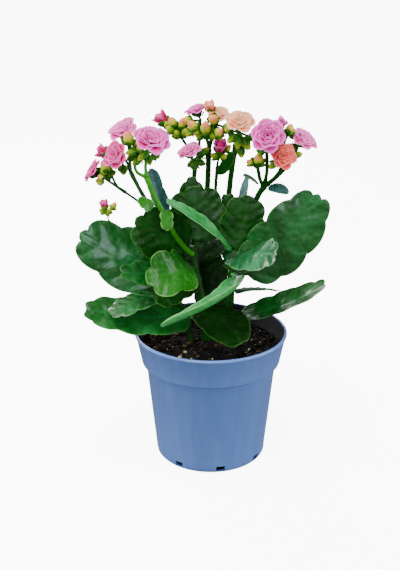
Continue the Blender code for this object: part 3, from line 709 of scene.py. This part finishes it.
# %% Flower stalks: radius, route, and the branches' bends on the way to what they carry
STALKS = {
    "stalk_left_front": (1.7, [(-12, -1, 147), (-15.5, -3, 150.5), (-20, -7, 157), (-25, -14, 167),
        (-30, -21, 180), (-36.5, -23, 194), (-41, -24, 206)], {"flower_left_large": [(-41.5, -24, 214)],
        "buds_left": [(-47.5, -18, 208)]}),
    "stalk_left_middle": (1.4, [(-15, 5, 153), (-21, -1, 162), (-30, -6, 173), (-39, -11, 183),
        (-45, -13, 193), (-52, -10, 206)], {"flower_left_low": [(-54, -13, 213)],
        "flower_left_back": [(-53, -5, 219)], "buds_far_left": [(-47, -15, 188), (-55, -16, 194),
        (-60, -17, 198)], "flower_far_left": [(-64, -12, 199)]}),
    "stalk_center": (1.9, [(-8, 10, 152), (-5, 16, 164), (-3, 19, 182), (-2, 15, 201), (-2, 9, 216)],
        {"buds_center": [(-2, 6, 220)], "flower_center_top": [(1, 9, 226)]}),
    "stalk_center_left": (1.5, [(-13, 10, 148), (-12, 20, 160), (-12, 23, 184), (-11, 19, 201)],
        {"flower_center_low": [(-11, 8, 206)], "buds_back_left": [(-15, 18, 214)],
        "flower_center_back": [(-8, 15, 218)]}),
    "stalk_center_right": (1.2, [(11, 12, 147), (5, 17, 160), (3, 19, 184), (4, 14, 203)],
        {"buds_center_low": [(4, 12, 206)]}),
    "stalk_right_center": (1.9, [(15, 12, 146), (11, 18, 160), (12, 20, 182), (14, 13, 205), (16, 6, 220)],
        {"flower_right_center": [(17, 3, 226)]}),
    "stalk_right": (2, [(19, 11, 146), (24, 16, 160), (28, 15, 174), (31.5, 13, 184), (35, 9, 191)],
        {"flower_right_large": [(36, 1, 203), (35.5, -5, 214)], "flower_right_low": [(42, 1, 200),
        (45, -4, 208)], "flower_far_right": [(43, 4, 199), (51, 0, 210)], "buds_right": [(32, 4, 197)]}),
    "stalk_shoot": (0.9, [(-16, 7, 138), (-30, 15, 139), (-48, 22, 145), (-62, 24, 152), (-69, 20, 163)],
        {"buds_shoot": [(-70, 19, 165)]}),
}
# Branches that fork off below the end of their stalk, and where.
FORKS = {"buds_far_left": (-39, -11, 183), "flower_far_left": (-55, -16, 194)}
LIME_STALKS = ("stalk_left_front", "stalk_shoot")
FORK_SWELLING = 0.25
STALK_TAPER = 0.2
BRANCH_SHARE = 0.62

for name, (radius, route, branches) in STALKS.items():
    points = smooth_route(route)
    last = len(points) - 1
    radii = [radius * (1.12 - STALK_TAPER * index / last + FORK_SWELLING * bell(last - index, SWELLING_REACH))
             for index in range(last + 1)]
    runs = [(points, radii)]
    for target, bends in branches.items():
        path = smooth_route([FORKS.get(target, route[-1]), *bends, branch_end(target)])
        radii = [radius * (BRANCH_SHARE + 0.3 * bell(index, SWELLING_REACH)) for index in range(len(path))]
        runs.append((path, radii))
    bm = bmesh.new()
    add_tubes(bm, runs)
    bmesh.ops.recalc_face_normals(bm, faces=bm.faces)
    skin = YOUNG_STEM_SKIN if name in LIME_STALKS else STEM_SKIN
    finish_piece(f"{name}_grown", bm, [skin], name)
print("stalks:", len(STALKS))


# %% [markdown]
# ## Petals, sepals and buds
# A double flower is a rosette. Its outer petals lie nearly flat, and each ring further in is shorter and
# stands more upright, until the last few stay folded in the middle. Petals are thin and soft, darkest
# deep in the flower and palest at the rim, and light glows through them a little. One petal is a small
# grid: narrow at its foot, widest past its middle, bent along its length and cupped across it. The same
# petal, made short and green, is a sepal. The grid is given its thickness by the solidify operator, and
# every petal keeps two marks for its material: how far up it is, and how near its rim.

# %% Petal materials
PETAL_STREAK = 1.8


def petal_material(name, deep, body, pale, rim):
    """Thin petal: darker at its foot in part as painted shade, pale at the rim, fine lengthwise streaks."""
    material, tree, shader = start_material(name, {
        "Roughness": 0.6, "IOR": 1.4, "Specular IOR Level": 0.12, "Subsurface Weight": 0.2,
        "Subsurface Radius": (1.0, 0.35, 0.5), "Subsurface Scale": 1.0 * MM, "Sheen Weight": 0.03,
        "Sheen Roughness": 0.5})
    place = add(tree, "TexCoord", {}, {}).outputs["Object"]
    rise = add(tree, "Attribute", {"attribute_name": "rise"}, {})
    streaks = add(tree, "TexNoise", {"Scale": per_metre(PETAL_STREAK), "Detail": 2.0}, {0: place})
    wander = add(tree, "MapRange", {1: 0.3, 2: 0.7, 3: -0.16, 4: 0.16}, {0: streaks})
    height = add(tree, "Math", {"operation": "ADD"}, {0: rise.outputs["Fac"], 1: wander})
    # Painted shade, in part: the deep stop at the foot also stands for the shade between the rings.
    tone = add(tree, "ValToRGB", {"stops": [(0.34, deep), (0.66, body), (0.96, pale)]}, {0: height})
    edge = add(tree, "Attribute", {"attribute_name": "edge"}, {})
    rimmed = add(tree, "Mix", {"data_type": "RGBA", 7: linear(rim)}, {0: edge.outputs["Fac"], 6: tone})
    bump = add(tree, "Bump", {"Strength": 0.2, "Distance": 0.15 * MM}, {"Height": streaks})
    link(tree, shader, {"Base Color": rimmed.outputs[2], "Normal": bump})
    return material


# Petals look soft and matte. Their saturated foot is darker partly as painted shade: it shows between
# the rings, so that each ring reads. A bud is a rolled petal, green at its foot and blushed where it will
# open, and a sepal is stem green.
PETALS = {
    "lilac": petal_material("petal, lilac pink", "8c002c", "cc0070", "e01ca0", "f67cd4"),
    "rose": petal_material("petal, deep rose", "880024", "c80044", "e01c84", "f26cbc"),
    "pale": petal_material("petal, pale pink", "a80048", "d81880", "ea48ac", "f888d0"),
    "peach": petal_material("petal, cream peach", "d83410", "ec6038", "f69870", "fac8a0"),
    "coral": petal_material("petal, coral", "8c0020", "d80850", "ee3438", "f88468"),
}
BUD_SKIN = petal_material("closed bud, green to peach", "6a9c10", "c8c034", "f08060", "e04068")
YOUNG_BUD_SKIN = petal_material("young bud, yellow green", "3c7c08", "6c9c10", "b0b830", "e08848")
SEPAL_SKIN = stem_material("sepal, fresh green", "0e3c04", "2c7008")
YOUNG_SEPAL_SKIN = stem_material("sepal, young yellow green", "4a8c0c", "94bc20")
print("petal materials:", ", ".join(PETALS))

# %% One petal or sepal
PETAL_GRID = (4, 6)
PETAL_THICKNESS = 0.3
NARROW_FOOT = 0.32
WIDEST = 0.62
BEND_STEPS = 12


def petal_half_width(t, width):
    """Half a petal's width at a share t of its length: a narrow foot, a broad end, a rounded tip."""
    if t < WIDEST:
        return width / 2 * (NARROW_FOOT + (1 - NARROW_FOOT) * sin(pi / 2 * t / WIDEST) ** 1.2)
    return width / 2 * max(0.0, 1 - ((t - WIDEST) / (1 - WIDEST)) ** 2.4) ** 0.6


def add_petal(bm, root, axis, turn, length, width, opening, cup, wave=0.0, index=0, start=0.5):
    """Adds one petal that leaves the axis at opening[0] degrees and ends at opening[1] degrees."""
    axis = axis.normalized()
    side = axis.orthogonal().normalized()
    out = side * cos(turn) + axis.cross(side) * sin(turn)
    across_way = axis.cross(out)
    before = set(bm.verts)
    faces_before = set(bm.faces)
    bmesh.ops.create_grid(bm, x_segments=PETAL_GRID[0], y_segments=PETAL_GRID[1], size=1)
    marks = {mark: bm.verts.layers.float[mark] for mark in ("rise", "edge")}
    for vert in [v for v in bm.verts if v not in before]:
        t, across = (vert.co.y + 1) / 2 * LAST_SHARE, vert.co.x
        reach, height = start, 0.0
        for step in range(BEND_STEPS):
            lean = radians(opening[0] + (opening[1] - opening[0]) * (step + 0.5) / BEND_STEPS * t)
            reach += sin(lean) * length * t / BEND_STEPS
            height += cos(lean) * length * t / BEND_STEPS
        lean = radians(opening[0] + (opening[1] - opening[0]) * t)
        inward = axis * sin(lean) - out * cos(lean)
        half = petal_half_width(t, width)
        ruffle = wave * sin(5 * t + 4 * across + 2 * turn) * t
        spot = root + out * reach + axis * height + across_way * across * half
        spot += inward * (cup * half * across**2 + ruffle)
        vert.co = spot
        vert[marks["rise"]] = t
        vert[marks["edge"]] = max(across**6 * min(1, 2 * t), t**10)
    made = [f for f in bm.faces if f not in faces_before]
    bmesh.ops.solidify(bm, geom=made, thickness=PETAL_THICKNESS)
    for f in bm.faces:
        if f not in faces_before:
            f.material_index = index


def start_bloom():
    """An empty bmesh with the marks that the petal materials read."""
    bm = bmesh.new()
    for mark in ("rise", "edge"):
        bm.verts.layers.float.new(mark)
    return bm


print("petal helper ready")

# %% One bud
# The second material of every flower and bud is its green one.
GREEN = 1
BUD_FOLDS = 4
BUD_TWIST = 3.5
BUD_TAPER = 0.28
SEPALS = 4
FIRST_PETALS = 5
# How far petals and sepals lean out at the foot and at the tip, in degrees.
FIRST_PETAL_LEAN = (30, 16)
BUD_SEPAL_LEAN = (78, 0)
FLOWER_SEPAL_LEAN = (80, 24)


def add_bud(bm, root, middle, length, radius, index=0, opening=False):
    """A bud: an egg with twisted folds, sepals round its foot, its own short stalk, and its first petals
    if it is opening."""
    way = (middle - root).normalized()
    before = set(bm.verts)
    bmesh.ops.create_uvsphere(bm, u_segments=16, v_segments=12, radius=1)
    marks = {mark: bm.verts.layers.float[mark] for mark in ("rise", "edge")}
    turn = Vector((0, 0, 1)).rotation_difference(way).to_matrix()
    for vert in [v for v in bm.verts if v not in before]:
        x, y, z = vert.co
        angle = atan2(y, x)
        fold = abs(sin((angle * BUD_FOLDS + BUD_TWIST * z) / 2))
        narrow = radius * (1 - BUD_TAPER * z) * (0.90 + 0.12 * fold)
        vert[marks["rise"]] = (z + 1) / 2
        vert[marks["edge"]] = 0.7 * max(0.0, 0.5 - fold) * (z + 1)
        vert.co = middle + turn @ Vector((x * narrow, y * narrow, z * length / 2))
    for f in {f for v in bm.verts if v not in before for f in v.link_faces}:
        f.material_index = index
    foot = middle - way * length / 2
    for petal in range(FIRST_PETALS if opening else 0):
        angle = 2 * pi * petal / FIRST_PETALS
        add_petal(bm, foot, way, angle, length * 1.15, radius * 1.7, FIRST_PETAL_LEAN, 0.35, 0.2, index,
                  radius * 0.3)
    for sepal in range(SEPALS):
        angle = 2 * pi * (sepal + 0.4) / SEPALS
        add_petal(bm, foot, way, angle, length * 0.74, radius * 1.25, BUD_SEPAL_LEAN, 0.45, 0, GREEN,
                  radius * 0.25)
    path = smooth_route([root, foot, foot + way * length * 0.12], 4)
    add_tubes(bm, [(path, [PEDICEL_RADIUS] * 5 + [1.0, 1.3, 1.5, 1.6])], GREEN)


print("bud helper ready")

# %% Flowers
# The rings of petals, outermost first: how many, their length and width as shares of the flower's
# radius, their lean at the foot and at the tip in degrees, and their cup.
RINGS = [
    (6, 1.20, 0.92, (30, 104), 0.16),
    (6, 1.00, 0.80, (24, 82), 0.26),
    (5, 0.86, 0.72, (18, 64), 0.34),
    (5, 0.74, 0.58, (12, 46), 0.44),
    (4, 0.62, 0.46, (6, 30), 0.55),
    (3, 0.54, 0.34, (2, 14), 0.65),
]

# Buds that crowd round a flower's foot: middle, length, radius and skin. Skin 0 is a half-open bud in
# the flower's own colour, 2 a young green one and 3 a peach one.
SIDE_BUDS = {
    "flower_left_large": [((-50, -24, 222), 8, 2.4, 2), ((-43, -25, 220), 8.5, 2.6, 2),
        ((-47, -22, 216), 8, 2.5, 2), ((-39, -24, 217), 7, 2.3, 2), ((-35, -20, 219), 7, 2.2, 2),
        ((-51, -18, 217), 7, 2.4, 2)],
    "flower_left_back": [((-48, -9, 224), 6.5, 2.5, 2)],
    "flower_left_low": [((-68, -18, 221), 8.5, 3.2, 0), ((-56, -17, 209), 7, 3, 2),
        ((-61, -18, 213), 6, 2.5, 2)],
    "flower_far_left": [((-71, -18, 201.5), 5.5, 2.6, 2), ((-65, -15, 205), 6, 2.8, 2),
        ((-68, -20, 209), 6, 2.6, 2)],
    "flower_center_low": [((-12, 2, 207.5), 8, 3, 2), ((-5, 3, 216), 9, 2.6, 2), ((-7, 2, 209), 8, 2.5, 2)],
    "flower_center_back": [((-16, 10, 235), 8.5, 3, 3), ((-14, 10, 227), 7, 2.6, 2)],
    "flower_center_top": [((1, -1, 238), 8.5, 3.3, 3), ((10, 0, 232), 7.5, 2.8, 2),
        ((-9, 0, 230), 7, 2.6, 2), ((5, 0, 227), 7, 2.6, 2), ((-1, 8, 244), 7, 3, 0)],
    "flower_right_center": [((13, -3, 226), 8, 2.8, 2), ((17, -4, 224), 9, 3, 2),
        ((22, -4, 223), 9.5, 3, 2), ((26, -5, 227), 7, 2.6, 2), ((19, -1, 217), 8.5, 2.9, 2),
        ((11, -2, 231), 6.5, 2.6, 2)],
    "flower_right_large": [((41, -13, 219), 7, 2.7, 2), ((31, -12, 219), 6.5, 2.5, 2),
        ((43, -12, 238), 7, 2.8, 0)],
    "flower_right_low": [((54, -10, 217), 8, 2.6, 2), ((49, -9, 233), 8, 3, 3),
        ((39, -12, 211), 7, 2.6, 2)],
    "flower_far_right": [((50, -4, 221), 7, 2.4, 2), ((52, -6, 230), 7.5, 2.8, 3)],
}

# No two petals are quite alike: how much their turn, length and lean differ.
TURN_SPREAD = 0.16
LENGTH_SPREAD = (0.92, 1.04)
LEAN_SPREAD = 7
RING_FOOT = 1.8
RUFFLE = 0.35

for seed, (name, (middle, facing, radius, kind)) in enumerate(FLOWERS.items()):
    draw = Random(seed)
    middle, facing = Vector(middle), Vector(facing).normalized()
    cup_foot = middle - facing * CALYX_LENGTH
    bm = start_bloom()
    for ring, (count, long, wide, opening, cup) in enumerate(RINGS):
        for petal in range(count):
            turn = 2 * pi * (petal + 0.5 * (ring % 2) + draw.uniform(-TURN_SPREAD, TURN_SPREAD)) / count
            length = radius * long * draw.uniform(*LENGTH_SPREAD)
            lean = tuple(angle + draw.uniform(-LEAN_SPREAD, LEAN_SPREAD) for angle in opening)
            add_petal(bm, cup_foot + facing * RING_FOOT, facing, turn, length, radius * wide, lean, cup,
                      RUFFLE)
    for sepal in range(SEPALS):
        turn = 2 * pi * (sepal + 0.3) / SEPALS
        add_petal(bm, cup_foot, facing, turn, radius * 0.78, radius * 0.48, FLOWER_SEPAL_LEAN, 0.35, 0,
                  GREEN, 0.6)
    stalk_foot = cup_foot - facing * PEDICEL_LENGTH
    add_tubes(bm, [(smooth_route([stalk_foot, cup_foot, cup_foot + facing * 2.6], 4),
                    [PEDICEL_RADIUS] * 4 + [1.0, 1.7, 2.2, 2.3, 2.0])], GREEN)
    for bud_middle, length, bud_radius, skin in SIDE_BUDS.get(name, []):
        add_bud(bm, stalk_foot, Vector(bud_middle), length, bud_radius, skin, skin == 0)
    skins = [PETALS[kind], SEPAL_SKIN, YOUNG_BUD_SKIN, BUD_SKIN]
    finish_piece(f"{name}_grown", bm, skins, name)
print("flowers:", len(FLOWERS), "with", sum(ring[0] for ring in RINGS), "petals each")

# %% Bud clusters: the buds that are opening, and the young green ones between the larger
OPENING = {"buds_back_left": (-32, 18, 234), "buds_center_low": (5.5, 6, 218), "buds_shoot": (-72, 17, 176)}
YOUNG_BUDS = {
    "buds_far_left": [((-64, -14, 207), 6, 2.5)],
    "buds_back_left": [((-27, 12, 228.5), 7, 2.6), ((-23, 13, 225.5), 7.5, 2.8), ((-17, 11, 227), 7.5, 2.8),
        ((-29, 15, 231), 6.5, 2.4), ((-21, 18, 229), 7, 2.7)],
    "buds_center": [((-8, 2, 227), 7, 2.6), ((1, -3, 228), 7, 2.6), ((-3, 6, 231), 7, 2.8)],
    "buds_center_low": [((2, 8, 212), 6.5, 2.3), ((8, 6, 212), 6, 2.2)],
    "buds_right": [((32, -5, 211), 6.5, 2.6), ((27, -2, 211), 6, 2.4)],
    "buds_shoot": [((-69, 16, 172), 5, 2), ((-74, 19, 171), 5, 1.9)],
}
for name, (root, buds) in BUD_CLUSTERS.items():
    bm = start_bloom()
    for middle, length, radius in buds:
        opening = OPENING.get(name) == middle
        add_bud(bm, Vector(root), Vector(middle), length, radius, 3 if opening else 0, opening)
    for middle, length, radius in YOUNG_BUDS.get(name, []):
        add_bud(bm, Vector(root), Vector(middle), length, radius, 2)
    sepal_skin = YOUNG_SEPAL_SKIN if name == "buds_shoot" else SEPAL_SKIN
    finish_piece(f"{name}_grown", bm, [BUD_SKIN, sepal_skin, YOUNG_BUD_SKIN, PETALS["rose"]], name)
print("bud clusters:", len(BUD_CLUSTERS))


# %% [markdown]
# ## Peat and what lies on it
# Potting peat is dark, crumbly and dull, with pale grains of perlite and slivers of bark. A turned disc
# with a rough top carries it, and loose crumbs are strewn over it. There are hundreds of those, so each
# is a single low ball of twenty faces, squeezed and turned its own way.

# %% Peat and grain materials
# Peat is damp and crumbly: almost black, with no shine at all. Bark is dry and brown, and perlite is a
# dusty volcanic glass that shows as cream specks.
peat = grainy_material("peat, damp and crumbly", {"Roughness": 0.95, "Specular IOR Level": 0.2},
                       [(0.35, "050403"), (0.55, "0f0b08"), (0.75, "2a1e14")], 2.2, 6.0, 0.65, (0.8, 1.0))
bark = grainy_material("composted bark, dry", {"Roughness": 0.85, "Specular IOR Level": 0.25},
                       [(0.35, "2c1c10"), (0.65, "5e452c")], 3)
perlite = grainy_material("perlite, expanded and dusty", {"Roughness": 0.9, "Specular IOR Level": 0.25},
                          [(0.35, "9c8c6a"), (0.65, "d2c39c")], 3)
print("soil materials:", peat.name, bark.name, perlite.name)

# %% Peat and crumbs
POT_HEIGHT = 92.0
SOIL_TOP = 80.0
SOIL_CROWN = 2.0
SOIL_EDGE = 46.9
SOIL_FOOT = 60.0
SOIL_RINGS = 30
SPIN_STEPS = 120
CLOD_SIZE, CLOD_HEIGHT = 9, 1.6
GRAIN_SIZE, GRAIN_HEIGHT = 3, 1.0

draw = Random(11)
bm = bmesh.new()
profile = [bm.verts.new((SOIL_EDGE - 4, 0, SOIL_FOOT))]
for step in range(SOIL_RINGS + 1):
    share = step / SOIL_RINGS
    profile.append(bm.verts.new((max(SOIL_EDGE * (1 - share), 0.0), 0, SOIL_TOP + SOIL_CROWN * share)))
profile.append(bm.verts.new((0, 0, SOIL_FOOT)))
edges = [bm.edges.new(pair) for pair in zip(profile, profile[1:] + profile[:1])]
bmesh.ops.spin(bm, geom=profile + edges, cent=(0, 0, 0), axis=(0, 0, 1), angle=2 * pi, steps=SPIN_STEPS,
               use_merge=True)
bmesh.ops.remove_doubles(bm, verts=bm.verts, dist=0.01)
bmesh.ops.dissolve_degenerate(bm, dist=0.005, edges=bm.edges)
bmesh.ops.recalc_face_normals(bm, faces=bm.faces)
for vert in bm.verts:
    if vert.co.z > SOIL_TOP - 1:
        vert.co.z += (noise.noise(vert.co / CLOD_SIZE) * CLOD_HEIGHT
                      + noise.noise(vert.co / GRAIN_SIZE) * GRAIN_HEIGHT)


def strew(bm, count, low, high, squash, index, ring=0.0):
    """Strews squeezed little balls over the peat, their sizes between low and high millimetres."""
    for _ in range(count):
        angle = draw.uniform(0, 2 * pi)
        reach = (SOIL_EDGE - 1.5) * (ring + (1 - ring) * draw.random() ** 0.5)
        size = draw.uniform(low, high)
        before = set(bm.verts)
        bmesh.ops.create_icosphere(bm, subdivisions=1, radius=size / 2)
        mine = [v for v in bm.verts if v not in before]
        stretch = Vector((draw.uniform(0.7, 1.3), draw.uniform(0.7, 1.3), squash * draw.uniform(0.7, 1.3)))
        spin = Matrix.Rotation(draw.uniform(0, pi), 3, "Z") @ Matrix.Rotation(draw.uniform(-0.6, 0.6), 3, "X")
        height = SOIL_TOP + SOIL_CROWN * (1 - reach / SOIL_EDGE) + size * 0.15
        spot = Vector((cos(angle) * reach, sin(angle) * reach, height))
        for vert in mine:
            vert.co = spot + spin @ (vert.co * stretch)
        for f in {f for v in mine for f in v.link_faces}:
            f.material_index = index


# Peat crumbs, then bark slivers, then perlite, which lies nearer the rim.
strew(bm, 620, 1.2, 3.6, 0.7, 0)
strew(bm, 90, 1.6, 4.2, 0.45, 1)
strew(bm, 60, 1.2, 2.8, 0.8, 2, 0.35)
soil = finish_piece("potting_soil_crumbly", bm, [peat, bark, perlite], "potting_soil", smooth=False)
print("soil faces:", len(soil.data.polygons))


# %% [markdown]
# ## The nursery pot
# The pot is injection moulded from polypropylene: a deep collar under a rounded rim bead, a tapered
# body, and small drainage slots round the foot. Its blue is a little milky, the surface is satin, and
# faint upright flow streaks show on the wall. Its inner side is near black, which is painted shade for
# the dark hollow inside. The walls are one profile spun round, and the slots are cut out of it with
# eight blocks.

# %% Pot materials
FLOW_SIZE = 5
FLOW_STRETCH = 0.05
SATIN_SIZE = 0.6
POLYPROPYLENE_IOR = 1.49

# Moulded polypropylene: milky blue and satin, so it shows broad soft highlights and no sharp ones.
plastic, plastic_tree, plastic_shader = start_material("polypropylene, moulded satin blue", {
    "Roughness": 0.38, "IOR": POLYPROPYLENE_IOR, "Subsurface Weight": 0.08,
    "Subsurface Radius": (0.6, 0.8, 1.0), "Subsurface Scale": 2.0 * MM})
pot_place = add(plastic_tree, "TexCoord", {}, {}).outputs["Object"]
upright = add(plastic_tree, "Mapping", {"Scale": (1, 1, FLOW_STRETCH)}, {0: pot_place})
flow = add(plastic_tree, "TexNoise", {"Scale": per_metre(FLOW_SIZE), "Detail": 3.0}, {0: upright})
tone = add(plastic_tree, "ValToRGB", {"stops": [(0.3, "5474b4"), (0.7, "5c7cba")]}, {0: flow})
satin = add(plastic_tree, "TexNoise", {"Scale": per_metre(SATIN_SIZE), "Detail": 2.0}, {0: pot_place})
rough = add(plastic_tree, "MapRange", {1: 0.3, 2: 0.7, 3: 0.32, 4: 0.44}, {0: satin})
bump = add(plastic_tree, "Bump", {"Strength": 0.15, "Distance": 0.2 * MM}, {"Height": flow})
link(plastic_tree, plastic_shader, {"Base Color": tone, "Roughness": rough, "Normal": bump})

# Painted shade: the inside walls and floor are near black with a faint brown grain, so that the inside
# of the pot reads as a dark hollow.
inside_painted_shade = grainy_material("polypropylene, near-black inside, painted shade", {
    "Roughness": 0.6, "IOR": POLYPROPYLENE_IOR, "Specular IOR Level": 0.3},
    [(0.4, "050506"), (0.75, "0f0d0b")], 6)
print("pot materials:", plastic.name, "and", inside_painted_shade.name)

# %% Pot profile
POT_RIM_RADIUS = 52.5
COLLAR_FOOT = POT_HEIGHT - 21.8
COLLAR_FOOT_RADIUS = 47.9
BODY_TOP_RADIUS = 44.9
BODY_FOOT_RADIUS = 38.6
BASE_RADIUS = 35.0
WALL = 1.3
BEAD = 1.3
COLLAR_ROUND = 0.8
BODY_FOOT = 6.5
FOOT_ROUND = 3.4
POT_STEPS = 144
# Slot of the near-black inside, which is painted shade.
INSIDE_SHADE_SLOT = 1
SLOTS = 8
SLOT_SIZE = (8.0, 6.0, 4.0)
SLOT_FOOT = 1.9
SLOT_START = radians(235)


def arc(centre_r, centre_z, radius, from_angle, to_angle, steps=6):
    """Points round a corner of the profile, as radius and height."""
    turns = [radians(from_angle + (to_angle - from_angle) * step / steps) for step in range(steps + 1)]
    return [(centre_r + radius * cos(turn), centre_z + radius * sin(turn)) for turn in turns]


outside = [
    *arc(POT_RIM_RADIUS - BEAD, POT_HEIGHT - BEAD, BEAD, 90, -30),
    (POT_RIM_RADIUS - 0.9, POT_HEIGHT - 2.9),
    (COLLAR_FOOT_RADIUS + 0.1, COLLAR_FOOT + 1.2),
    *arc(COLLAR_FOOT_RADIUS - COLLAR_ROUND, COLLAR_FOOT + COLLAR_ROUND, COLLAR_ROUND, 0, -90, 4),
    (BODY_TOP_RADIUS + 0.6, COLLAR_FOOT - 0.1),
    (BODY_TOP_RADIUS, COLLAR_FOOT - 1.2),
    (BODY_FOOT_RADIUS, BODY_FOOT),
    *arc(BASE_RADIUS, FOOT_ROUND + 0.2, FOOT_ROUND, -8, -82, 5),
    (BASE_RADIUS, 0),
    (0, 0),
]
inside = [
    (0, WALL),
    (BASE_RADIUS - 1.0, WALL),
    (BODY_FOOT_RADIUS - WALL - 0.6, 2.8),
    (BODY_FOOT_RADIUS - WALL, BODY_FOOT),
    (BODY_TOP_RADIUS - WALL, COLLAR_FOOT - 1.6),
    (COLLAR_FOOT_RADIUS - WALL - 0.4, COLLAR_FOOT + 0.6),
    (POT_RIM_RADIUS - WALL - 0.9, POT_HEIGHT - 2.6),
    *arc(POT_RIM_RADIUS - WALL - 0.1, POT_HEIGHT - 0.6, 0.6, 180, 90, 3),
]
bm = bmesh.new()
line = [bm.verts.new((r, 0, z)) for r, z in inside + outside]
edges = [bm.edges.new(pair) for pair in zip(line, line[1:])]
bmesh.ops.spin(bm, geom=line + edges, cent=(0, 0, 0), axis=(0, 0, 1), angle=2 * pi, steps=POT_STEPS,
               use_merge=True)
bmesh.ops.remove_doubles(bm, verts=bm.verts, dist=0.001)
bmesh.ops.dissolve_degenerate(bm, dist=0.0005, edges=bm.edges)
bmesh.ops.recalc_face_normals(bm, faces=bm.faces)
for f in bm.faces:
    middle = f.calc_center_median()
    outward = f.normal.dot(Vector((middle.x, middle.y, 0)).normalized())
    inner_wall, inner_floor = outward < -0.5, f.normal.z > 0.5 and middle.z < 3
    # The inside walls and floor take the near-black painted shade.
    if middle.z < POT_HEIGHT - 1.0 and (inner_wall or inner_floor):
        f.material_index = INSIDE_SHADE_SLOT
pot = finish_piece("pot_moulded", bm, [plastic, inside_painted_shade], "pot")
print("pot faces before the slots:", len(pot.data.polygons))

# %% Drainage slots
bm = bmesh.new()
for index in range(SLOTS):
    block = bmesh.ops.create_cube(bm, size=1)["verts"]
    bmesh.ops.scale(bm, verts=block, vec=SLOT_SIZE)
    bmesh.ops.translate(bm, verts=block, vec=(BODY_FOOT_RADIUS, 0, SLOT_FOOT + SLOT_SIZE[2] / 2))
    turn = Matrix.Rotation(SLOT_START + 2 * pi * index / SLOTS, 3, "Z")
    bmesh.ops.rotate(bm, verts=block, cent=(0, 0, 0), matrix=turn)
bmesh.ops.scale(bm, vec=(MM, MM, MM), verts=bm.verts)
cutter = make_object("slot_blocks", bm)
slots = pot.modifiers.new("slots", "BOOLEAN")
slots.operation = "DIFFERENCE"
slots.object = cutter
cut_mesh = bpy.data.meshes.new_from_object(pot.evaluated_get(bpy.context.evaluated_depsgraph_get()))
pot.modifiers.remove(slots)
pot.data = cut_mesh
bpy.data.objects.remove(cutter)
pot.data.set_sharp_from_angle(angle=radians(40))
print("pot faces:", len(pot.data.polygons))
